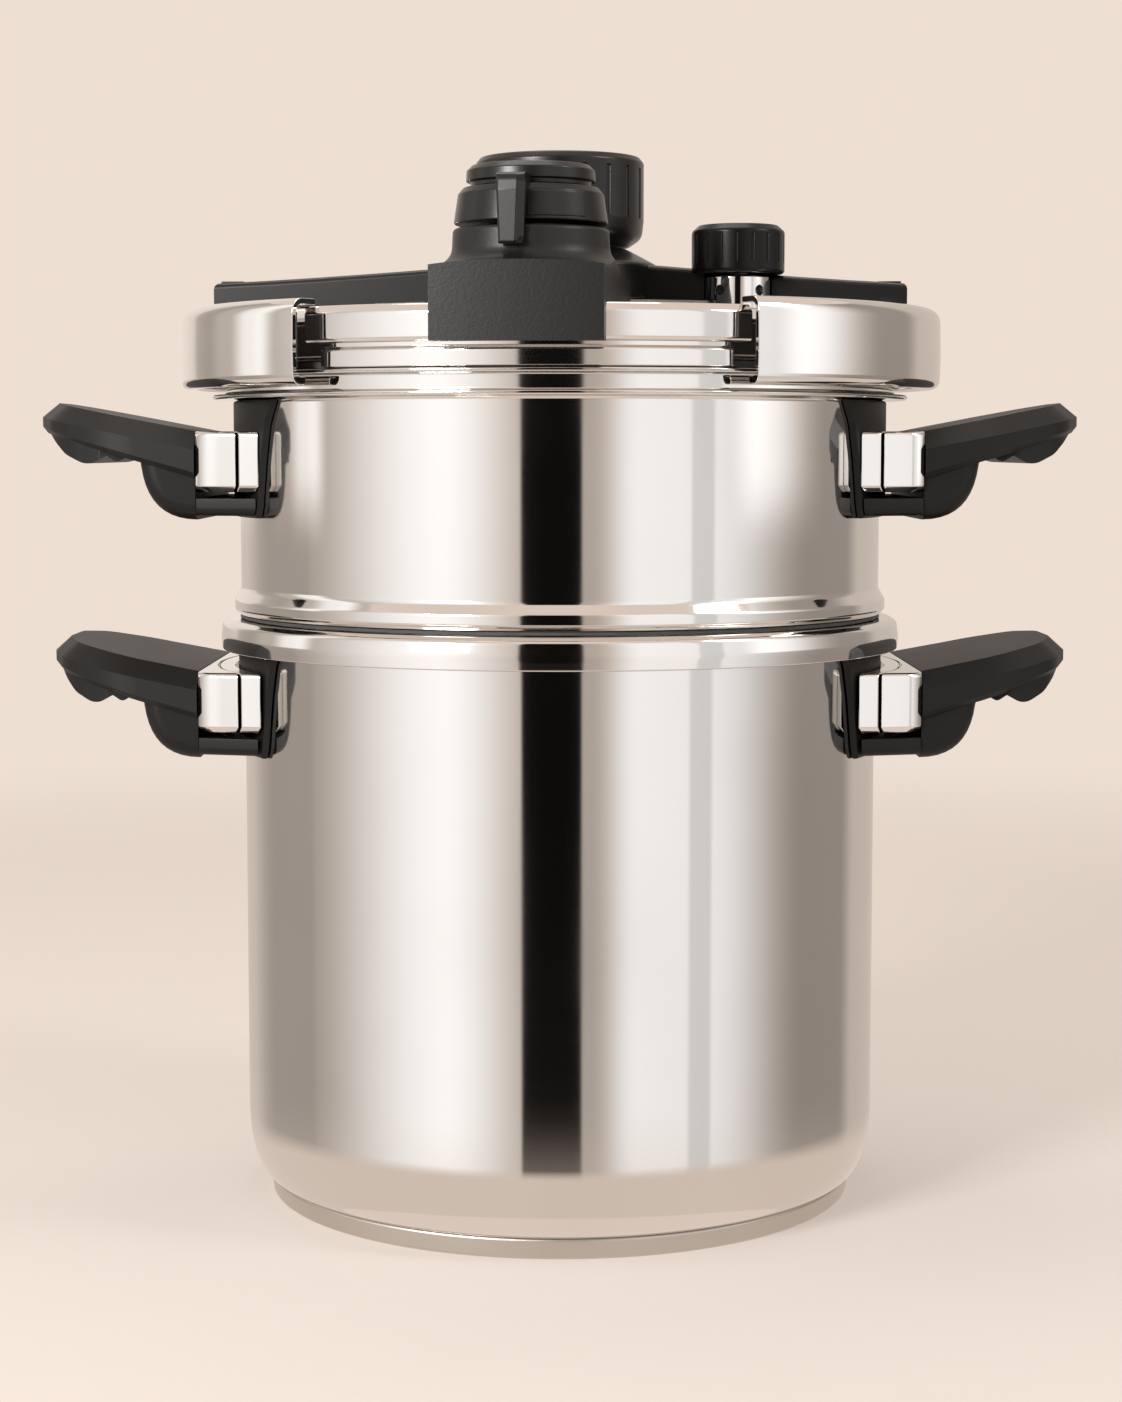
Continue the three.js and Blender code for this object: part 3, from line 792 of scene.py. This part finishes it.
def buildHousing(v):
    half, front = v["housingHalf"], v["housingFront"]
    bottom, top = v["housingBottom"], v["housingTop"]
    turretY, collar = v["turretY"], v["collarRadius"]
    arch = bow((half, top - 1.2), (half * 0.5, top + 0.9),
               (-half * 0.5, top + 0.9), (-half, top - 1.2), 12)
    corners = [(x, -front, z) for x, z in [(-half, bottom), (half, bottom)] + arch]
    box = slab("frontHousing", corners, (0, front - 30, 0))
    flare = bow((44, top - 1.2), (35, top - 0.4), (collar + 0.4, top + 0.6), (collar, top + 7), 14)
    neck = turn("neck", [(0, top - 5), (44, top - 5)] + flare + rounded([
        (collar, top + 7),
        (collar - 0.3, v["collarTop"], 1.6),
        (0, v["collarTop"]),
    ], closed=False)[1:], 96)
    middle = v["crown"] - front
    carve(box, rod("crown", v["crown"], (0, middle, 300), (0, middle, 380), 1024), "INTERSECT")
    place(neck, y=turretY)
    trim = cube("trim", (-half, -front, 300), (half, 0, 380))
    carve(neck, trim, "INTERSECT")
    carve(box, neck, "UNION")
    carve(box, rod("bandRoom", 130.9, (0, 0, 300), (0, 0, 332.2), 128))
    carve(box, rod("hubRoom", v["hubRadius"] + 1.2, (0, 0, 330), (0, 0, 362), 96))
    cavity = rod("cavity", 20, (0, turretY, 330), (0, turretY, 345.2), 48)
    carve(box, cavity)
    carve(box, rod("bore", 13.6, (0, turretY, 340), (0, turretY, 362), 48))
    soften(box, 0.8, 3, 38)
    place(box, angle=lidTurn)
    return deliver(box, "lid", "black_phenolic", grained, "front_housing")


knobValues = {
    "radius": 31.7,
    "bottom": low("main_knob").z,
    "top": high("main_knob").z,
    "grooves": 20,
    "grooveRadius": 1.15,
    "grooveLow": 369.8,
    "grooveHigh": 386.4,
}


# Upright grooves with round ends, cut by pills set round a circle.
def pillRing(count, ring, radius, bottom, top, phase=0.0):
    outline = rounded([
        (0, bottom - radius),
        (radius, bottom - radius, radius),
        (radius, top + radius, radius),
        (0, top + radius),
    ], closed=False, steps=5, support=0)
    pill = turn("pill", outline, 16)
    pills = []
    for i in range(count):
        angle = 2 * math.pi * i / count + phase
        twin = copyOf(pill, "pillCopy")
        pills.append(place(twin, x=ring * math.cos(angle), y=ring * math.sin(angle)))
    bpy.data.objects.remove(pill)
    return joinAll(*pills)


def buildKnob(v):
    radius, bottom, top = v["radius"], v["bottom"], v["top"]
    knob = turn("mainKnob", rounded([
        (0, bottom),
        (26, bottom, 2),
        (31, bottom + 3.4, 5),
        (radius, bottom + 10, 8),
        (radius, top - 2.2, 1.6),
        (30, top, 1.4),
        (26.4, top, 0.7),
        (25.6, top - 1.4, 0.6),
        (0, top - 1.4),
    ], closed=False), 120)
    slots = pillRing(v["grooves"], radius + 0.1, v["grooveRadius"], v["grooveLow"], v["grooveHigh"])
    carve(knob, slots)
    carve(knob, rod("spindleHole", 4.2, (0, 0, 350), (0, 0, 374.3)))
    soften(knob, 0.3, 2, 35)
    place(knob, angle=lidTurn + math.radians(-85))
    return deliver(knob, "main_knob", "black_phenolic", smoothBlack, "main_knob", angle=38)


selectorValues = {
    "turn": -6.2,
    "ringBottom": 359.9,
    "ringTop": 372.3,
    "leverHalf": 4.1,
    "leverSpread": 0.22,
    "leverOut": 32,
    "leverBottom": 351.5,
    "leverTop": 375.3,
    "capRadius": 22.4,
    "capTop": high("selector_cap").z,
}


def buildSelector(v):
    bottom, top, half, out = v["ringBottom"], v["ringTop"], v["leverHalf"], v["leverOut"]
    ring = turn("selectorRing", rounded([
        (10, 347.4, 0.3),
        (13, 347.4, 0.4),
        (13, bottom, 0.3),
        (26.7, bottom, 0.6),
        (26.3, bottom + 3, 1),
        (25.2, top - 2.2, 1),
        (23.4, top, 0.6),
        (10, top, 0.3),
    ]), 112)
    lever = slab("lever", [(-half, y, z) for y, z in rounded([
        (-22, top - 0.2),
        (-22, v["leverTop"]),
        (0.4 - out, v["leverTop"], 3),
        (-out, v["leverTop"] - 6, 3),
        (-out, v["leverBottom"], 0.8),
        (-28, v["leverBottom"], 0.8),
        (-28, bottom + 0.4),
        (-22, bottom + 0.4),
    ], steps=4)], (2 * half, 0, 0))
    for vertex in lever.data.vertices:  # a little wider at the top
        rise = (vertex.co.z / mm - v["leverBottom"]) / (v["leverTop"] - v["leverBottom"])
        vertex.co.x *= 1 + v["leverSpread"] * rise
    cutEdges(lever, lambda x, y, z: x > half - 0.1 and y < 0.8 - out, 2.6)
    cutEdges(lever, lambda x, y, z: x < 0.1 - half and y < 0.8 - out, 0.9)
    soften(lever, 0.4, 2, 28)
    panel = turn("panel", rounded([
        (24, bottom + 1.2),
        (26.9, bottom + 1.2, 0.4),
        (25.9, top - 2.6, 0.4),
        (24, top - 2.6),
    ]), 24, 24, -90 + 34)
    soften(panel, 0.35, 2, 50)
    selector = joinAll(ring, lever, panel)
    place(selector, angle=math.radians(v["turn"]))
    place(selector, y=bridgeValues["turretY"])
    place(selector, angle=lidTurn)
    deliver(selector, "selector", "black_phenolic", smoothBlack, "selector_ring", angle=38)
    cap = turn("selectorCap", rounded([
        (0, 366),
        (9.6, 366, 0.3),
        (9.6, top + 0.3, 0.3),
        (20.8, top + 0.3, 0.3),
        (20.8, top + 2, 0.4),
        (v["capRadius"], top + 2, 0.5),
        (v["capRadius"] - 0.2, v["capTop"] - 1.9, 0.8),
        (20.2, v["capTop"], 1),
        (0, v["capTop"]),
    ], closed=False), 96)
    place(cap, y=bridgeValues["turretY"])
    place(cap, angle=lidTurn)
    return deliver(cap, "selector", "black_phenolic", smoothBlack, "selector_cap")


regulatorValues = {
    "stemRadius": 12,
    "stemBottom": 332.2,
    "stemTop": 346.7,
    "holeHeight": 341,
    "capRadius": 17.2,
    "capBottom": low("regulator_cap").z,
    "capTop": high("regulator_cap").z,
    "grooves": 18,
}


def buildRegulator(v):
    centre = (low("regulator_cap") + high("regulator_cap")) / 2
    radius = v["stemRadius"]
    stem = turn("regulatorStem", rounded([
        (0, 321),
        (2.9, 321, 0.3),
        (2.9, v["stemBottom"], 0.2),
        (radius, v["stemBottom"], 0.5),
        (radius, v["stemTop"], 1),
        (4.4, v["stemTop"], 0.4),
        (4.4, 352, 0.6),
        (0, 352),
    ], closed=False), 80)
    drills = []
    for angle in (-128, -52, 22, 98, 172):
        reach = Vector((math.cos(math.radians(angle)), math.sin(math.radians(angle)), 0))
        height = Vector((0, 0, v["holeHeight"]))
        drills.append(rod("drill", 2, reach * 5 + height, reach * 16 + height, 28))
    carve(stem, joinAll(*drills))
    soften(stem, 0.5, 3, 45)
    place(stem, x=centre.x, y=centre.y)
    deliver(stem, "lid", "polished_steel", jawMirror, "regulator_stem", angle=40)
    # Painted shade: a black rod inside the stem, so the drilled holes look dark inside.
    holeShade = rod("regulatorHoleShade", radius - 3.4,
               (0, 0, v["stemBottom"] + 3), (0, 0, v["stemTop"] - 2), 48)  # dark behind the holes
    soften(holeShade, 0.4, 2)
    place(holeShade, x=centre.x, y=centre.y)
    deliver(holeShade, "lid", "black_phenolic", smoothBlack, angle=40)
    bottom, top, radius = v["capBottom"], v["capTop"], v["capRadius"]
    cap = turn("regulatorCap", rounded([
        (0, bottom),
        (radius, bottom, 1.4),
        (radius, top - 2.8, 1.6),
        (radius - 2.6, top - 0.5, 1.2),
        (0, top),
    ], closed=False), 90)
    carve(cap, pillRing(v["grooves"], radius + 0.25, 0.75, bottom + 4.6, top - 4.6, 0.09))
    carve(cap, rod("seat", 5.2, (0, 0, 340), (0, 0, 356.6)))
    soften(cap, 0.2, 2, 35)
    place(cap, x=centre.x, y=centre.y)
    return deliver(cap, "regulator_cap", "black_phenolic", capBlack, "regulator_cap", angle=38)


handleValues = {
    "half": 54,
    "root": 132.5,
    "reach": 195,
    "rootTop": 289.3,
    "rootBottom": 272.5,
    "bellyLow": 257.1,
    "topSlope": 10.9,
    "underSlope": 15.5,
    "topChamfer": 6.4,
    "wall": 121.1,
    "drop": 87.5,
    "lowerReach": 191.2,
    "collarLow": 267.2,
    "collarHigh": 289.2,
    "footLow": 258.6,
}


# The grip's outline from above, drawn in by an inset.
def gripPlan(v, inset=0.0):
    root, reach, half = v["root"], v["reach"] - inset, v["half"] - inset
    return rounded([
        (root, -half),
        (reach - 30, 3 - half, 40),
        (reach - 9, -38, 22),
        (reach - 0.6, -16, 30),
        (reach - 0.6, 16, 30),
        (reach - 9, 38, 22),
        (reach - 30, half - 3, 40),
        (root, half),
    ], steps=6, support=0.8)


# The tapered slab, the round belly under its root, and two finger lobes under its tip.
def buildGrip(v):
    root, half = v["root"], v["half"]
    topRise, underRise = (math.tan(math.radians(v[key])) for key in ("topSlope", "underSlope"))
    grip = slab("grip", [(x, y, v["rootBottom"]) for x, y in gripPlan(v)],
                (0, 0, v["rootTop"] - v["rootBottom"]))
    for vertex in grip.data.vertices:  # top and underside rise towards the tip
        out = vertex.co.x / mm - root
        vertex.co.z += out * (topRise if vertex.co.z / mm > 280 else underRise) * mm

    def isOuter(x, y):
        return x > root + 0.1 or abs(y) > half - 0.1

    def isUpper(x, z):
        return z > 281 + (x - root) * (topRise + underRise) / 2

    cutEdges(grip, lambda x, y, z: isUpper(x, z) and isOuter(x, y), v["topChamfer"])
    cutEdges(grip, lambda x, y, z: z < 275 + (x - root) * underRise and isOuter(x, y), 1.8)
    curve = bow((153.4, 285), (153.6, 267), (147.5, v["bellyLow"]), (root, v["bellyLow"]), 12)
    belly = slab("belly", [(x, 3.5 - half, z) for x, z in curve + [(root, 285)]],
                 (0, 2 * half - 7, 0))
    cutEdges(belly, lambda x, y, z: abs(y) > half - 4 and x > root - 0.1 and z < 281, 6, 5)
    lobes = slab("lobes", [(x, -47, z) for x, z in rounded([
        (190.4, 289.6),
        (181.5, 280.9, 9),
        (172.5, 276.6, 9),
        (165.2, 280.4, 1),
        (161.2, 277.9, 2.6),
        (156.4, 281, 1),
        (155.4, 283.5),
        (189.6, 292.6),
    ], support=0.3)], (0, 94, 0))
    lobePlan = slab("lobePlan", [(x, y, 270) for x, y in gripPlan(v, 1.6)], (0, 0, 40))
    carve(lobes, lobePlan, "INTERSECT")
    for part in (belly, lobes):
        carve(grip, part, "UNION")
    carve(grip, rod("bore", 3, (120, 0, 274), (151, 0, 274)))
    soften(grip, 0.6, 3, 24)
    return grip


# The bright collar in two parts, with a seam: its sides bulge, and its lower edge is cut away.
def buildFerrule(v):
    root, wall, bottom, top = v["root"], v["wall"], v["collarLow"], v["collarHigh"]

    def wedgeBlock(name):
        side = [(105, 60.5), (118, 57.4), (123, 56.5), (127, 55.7), (130, 54.4), (root - 0.3, 52.2)]
        outline = [(x, -y) for x, y in side] + side[::-1]
        block = slab(name, [(x, y, bottom) for x, y in outline], (0, 0, top - bottom))
        cutEdges(block, lambda x, y, z: x > 104.9 and z < bottom + 0.1 and abs(y) > 52, 2.2)
        cutEdges(block, lambda x, y, z: x > 104.9 and z > top - 0.1 and abs(y) > 52, 1.8, 4)
        return block

    upper, rim = wedgeBlock("ferrule"), wedgeBlock("escutcheon")
    carve(upper, rod("wallRoom", wall + 9.2, (0, 0, 240), (0, 0, 310), 160))
    carve(rim, rod("outerRoom", wall + 8.3, (0, 0, 240), (0, 0, 310), 160), "INTERSECT")
    carve(rim, rod("wallRoom", wall + 2.6, (0, 0, 240), (0, 0, 310), 160))
    for part in (upper, rim):
        soften(part, 0.5, 3, 40)
    ferrule = joinAll(upper, rim)
    carve(ferrule, rod("bore", 3, (110, 0, 274), (140, 0, 274)))
    return ferrule


# The black foot below the collar.
def buildFoot(v):
    foot = slab("foot", [(x, y, v["footLow"]) for x, y in (
        (108, -58), (v["root"] - 0.2, -51.4), (v["root"] - 0.2, 51.4), (108, 58))],
        (0, 0, v["collarLow"] - 2.2 - v["footLow"]))
    cutEdges(foot, lambda x, y, z: x > 107.9 and z < v["footLow"] + 0.1 and abs(y) > 51, 3, 4)
    carve(foot, rod("wallRoom", v["wall"] + 2.8, (0, 0, 240), (0, 0, 310), 160))
    soften(foot, 0.5, 3, 40)
    return foot


def buildShield(v, top):
    wall = v["wall"]
    plate = turn("shield", rounded([
        (wall + 0.3, 257.8, 0.3),
        (wall + 2.3, 257.8, 0.9),
        (wall + 2.3, top, 0.9),
        (wall + 0.3, top, 0.3),
    ], steps=4), 60, 34, 0)
    side = [(55, 256), (57.5, 262, 12), (60.5, 280, 40), (63.5, 292, 12), (68, 300), (68, 312)]
    ring = rounded(side + [(-y, z, *r) for y, z, *r in reversed(side)])
    trim = slab("trim", [(80, y, z) for y, z in ring], (70, 0, 0))
    carve(plate, trim, "INTERSECT")
    carve(plate, rod("bore", 3, (110, 0, 274), (140, 0, 274)))
    soften(plate, 0.6, 3, 40)
    return plate


def buildHandles(v):
    grip, ferrule, foot = buildGrip(v), buildFerrule(v), buildFoot(v)
    for tier, body, wall, drop, reach in (
            ("upper", "upper_tier", v["wall"], 0, v["reach"]),
            ("lower", "lower_pot", v["wall"] - 1.1, v["drop"], v["lowerReach"])):
        shieldTop = high(tier + "_handle_right_shield").z + drop
        shield = buildShield(v, shieldTop)
        shrink = (reach - v["root"]) / (v["reach"] - v["root"])
        for side, angle in (("right", 0), ("left", math.pi)):
            name = f"{tier}_handle_{side}"
            inward = wall - v["wall"]
            newGrip = copyOf(grip, tier + side.title() + "Grip")
            for vertex in newGrip.data.vertices:
                if vertex.co.x > 154 * mm:
                    vertex.co.x = 154 * mm + (vertex.co.x - 154 * mm) * shrink ** 1.5
            newFerrule = copyOf(ferrule, tier + side.title() + "Ferrule")
            newShield = copyOf(shield, tier + side.title() + "Shield")
            newFoot = copyOf(foot, tier + side.title() + "Foot")
            for part, shift in ((newGrip, 0), (newFerrule, 0), (newFoot, 0), (newShield, inward)):
                place(part, x=shift, z=-drop)
                place(part, angle=angle)
            deliver(newFoot, body, "black_phenolic", gripBlack, angle=40)
            deliver(newGrip, body, "black_phenolic", gripBlack, name + "_grip", angle=30)
            deliver(newFerrule, body, "polished_steel", jawMirror, name + "_ferrule", angle=40)
            deliver(newShield, body, "black_phenolic", gripBlack, name + "_shield", angle=40)
        bpy.data.objects.remove(shield)
    for spare in (grip, ferrule, foot):
        bpy.data.objects.remove(spare)


plainLooks = {
    "satin_steel": satin,
    "polished_steel": jawMirror,
    "brass": brass,
    "silicone": silicone,
    "black_phenolic": smoothBlack,
}


def finishSmallPieces():
    slots = {part["node"]: part["material_slot"] for part in frame["record"]["subparts"]}
    for name, node in frame["nodes"].items():
        for index in range(len(node.material_slots)):
            node.material_slots[index].material = plainLooks[slots[name]]


studioValues = {
    "paper": (0.855, 0.735, 0.65),
    "ringRadius": 2.4,
    "ringTop": 2.4,
    "ringBottom": -2.4,
    "floorRadius": 8,
    "floorFade": (0.7, 1.5),
    "floorGlow": 0.34,
    "floorShare": 0.48,
    "floorTint": (0.855, 0.79, 0.742),
    "softWhite": (1.0, 0.985, 0.975),
    "warmWall": (1.0, 0.88, 0.785),
    "lowGlow": (0.76, 0.65, 0.57),
}


def hideFromCamera(thing):
    thing.visible_camera = False


# An upright ring of light round the object: two tall softboxes, a dark screen in front, dim walls,
# brighter patches high up at both sides, and the paper's own tone low down. Angles are in degrees,
# from the front, and grow towards the right.
def buildLightRing(v):
    deselectAll()
    bpy.ops.mesh.primitive_cylinder_add(
        vertices=128, radius=v["ringRadius"], depth=v["ringTop"] - v["ringBottom"],
        end_fill_type="NOTHING", location=(0, 0, (v["ringTop"] + v["ringBottom"]) / 2))
    ring = bpy.context.active_object
    ring.name = "lightRing"
    finish = Finish("light ring")
    x, y, z = finish.axes()
    turned = finish.node("ShaderNodeMath", {"operation": "ARCTAN2"}, {0: x, 1: 0 - y})
    angle = turned * math.degrees(1)
    leftBox = finish.ramp(angle, -108, -38) * finish.ramp(angle, -42, -2, 1, 0)
    leftBox = leftBox * finish.ramp(angle, -99, -95)
    rightBox = finish.ramp(angle, 10, 27) * finish.ramp(angle, 52, 96, 1, 0)
    seam = 1 - 0.26 * finish.ramp(angle, 44.5, 46) * finish.ramp(angle, 53, 54.5, 1, 0)
    screen = 1 - 0.99 * finish.ramp(angle, -13.6, -12.4) * finish.ramp(angle, 6.8, 8, 1, 0)
    side = finish.node("ShaderNodeMath", {"operation": "ABSOLUTE"}, {0: angle})
    tilt = finish.node("ShaderNodeMath", {"operation": "SINE"}, {0: angle * math.radians(1)})
    wall = 0.37 - 0.04 * tilt + 0.14 * finish.ramp(side, 94, 20) + 0.05 * finish.ramp(z, -0.3, 0.6)
    wall = wall + 0.26 * (finish.ramp(angle, 119, 131) + finish.ramp(angle, -122, -150))
    highLeft = 0.14 * finish.ramp(angle, -124, -114) + 0.52 * finish.ramp(angle, -110, -100)
    highLeft = highLeft * finish.ramp(angle, -94, -86, 1, 0)
    highLeft = highLeft + 0.22 * finish.ramp(angle, -138, -133, 1, 0)
    highRight = 0.6 * finish.ramp(angle, 58, 72) * finish.ramp(angle, 76, 106, 1, 0)
    high = finish.ramp(z, 0.16, 0.26) * (highLeft + highRight)
    level = (wall + leftBox * 0.72 + rightBox * 0.6 + high) * seam * screen
    warmth = finish.ramp(leftBox + rightBox + high, 0, 0.9)
    upright = finish.node("ShaderNodeEmission", inputs={
        "Color": finish.blend(warmth, v["warmWall"], v["softWhite"]), "Strength": level})
    lower = finish.node("ShaderNodeEmission", inputs={"Color": (*v["lowGlow"], 1), "Strength": 1.0})
    glow = finish.node("ShaderNodeMixShader", inputs={
        0: finish.ramp(z, -0.78, -0.5), 1: lower, 2: upright})
    out = finish.tree.nodes["Material Output"]
    finish.join(glow, out.inputs["Surface"])
    ring.data.materials.append(finish.material)
    hideFromCamera(ring)


# Floor paper: it takes a soft shadow near the pot, and farther out it is as even as the backdrop.
def buildFloor(v):
    deselectAll()
    bpy.ops.mesh.primitive_circle_add(vertices=128, radius=v["floorRadius"], fill_type="NGON")
    floor = bpy.context.active_object
    floor.name = "studioFloor"
    finish = Finish("floor paper")
    x, y, z = finish.axes()
    far = finish.ramp((x * x + y * y) ** 0.5, *v["floorFade"])
    fibre = finish.noise(40, 4)
    shade = finish.blend(fibre, v["paper"], tuple(channel * 0.99 for channel in v["paper"]))
    taken = finish.blend(fibre, *(tuple(channel * share for channel in v["floorTint"])
                                  for share in (v["floorShare"], v["floorShare"] * 0.98)))
    finish.wear(Base_Color=taken, Roughness=0.9, Emission_Color=shade)
    finish.shader.inputs["Emission Strength"].default_value = v["floorGlow"]
    finish.shader.inputs["Specular IOR Level"].default_value = 0
    even = finish.node("ShaderNodeEmission", inputs={"Color": (*v["paper"], 1), "Strength": 1.0})
    near = Wire(finish, finish.shader.outputs[0])
    surface = finish.node("ShaderNodeMixShader", inputs={0: far, 1: near, 2: even})
    finish.join(surface, finish.tree.nodes["Material Output"].inputs["Surface"])
    floor.data.materials.append(finish.material)
    floor.visible_glossy = False


def buildWorld(v):
    world = bpy.data.worlds.new("studio")
    bpy.context.scene.world = world
    world.use_nodes = True
    background = world.node_tree.nodes["Background"]
    background.inputs["Color"].default_value = (*v["paper"], 1)
    background.inputs["Strength"].default_value = 1.0


def buildLamp(name, place, aim, size, power, colour=(1, 0.98, 0.96)):
    deselectAll()
    bpy.ops.object.light_add(type="AREA", location=place)
    lamp = bpy.context.active_object
    lamp.name = name
    lamp.data.shape = "RECTANGLE"
    lamp.data.size, lamp.data.size_y = size
    lamp.data.energy = power
    lamp.data.color = colour
    lamp.rotation_euler = (Vector(aim) - Vector(place)).to_track_quat("-Z", "Y").to_euler()
    hideFromCamera(lamp)


cameraValues = {"distance": 1.0501, "height": 0.2836, "side": 0.00043, "tilt": 5.293, "lens": 70.43}


def buildCamera(v):
    deselectAll()
    bpy.ops.object.camera_add(
        location=(v["side"], -v["distance"], v["height"]),
        rotation=(math.radians(90 - v["tilt"]), 0, 0))
    camera = bpy.context.active_object
    camera.name = "studioCamera"
    camera.data.lens = v["lens"]
    camera.data.sensor_width = 36
    camera.data.clip_start = 0.01
    bpy.context.scene.camera = camera


buildCamera(cameraValues)
buildWorld(studioValues)
buildFloor(studioValues)
buildLightRing(studioValues)
buildLamp("topLeft", (-1.2, -1.5, 0.86), (0, 0, 0.3), (0.6, 0.6), 40)
buildLamp("topRight", (1.25, -0.5, 1.3), (0, 0, 0.3), (0.35, 0.6), 7)
buildLamp("overhead", (-0.1, 0.35, 1.7), (0, 0, 0.3), (0.9, 0.6), 6)
bpy.context.scene.view_settings.view_transform = "Standard"
print("studio done")

finishSmallPieces()
buildLowerPot(potValues)
buildBase(baseValues)
buildRack(rackValues)
print("lower pot done")

buildUpperPot(tierValues)
buildTray(trayValues)
print("upper tier done")

buildLid(lidValues)
buildBand(bandValues, "frontBand", "lid_band_front", -90)
buildBand(bandValues, "rearBand", "lid_band_rear", 90)
buildJaw(jawValues, "Right", 1)
buildJaw(jawValues, "Left", -1)
print("lid and jaws done")

buildBridge(bridgeValues)
buildHousing(bridgeValues)
buildKnob(knobValues)
buildSelector(selectorValues)
buildRegulator(regulatorValues)
print("bridge and knobs done")

buildHandles(handleValues)
print("handles done")
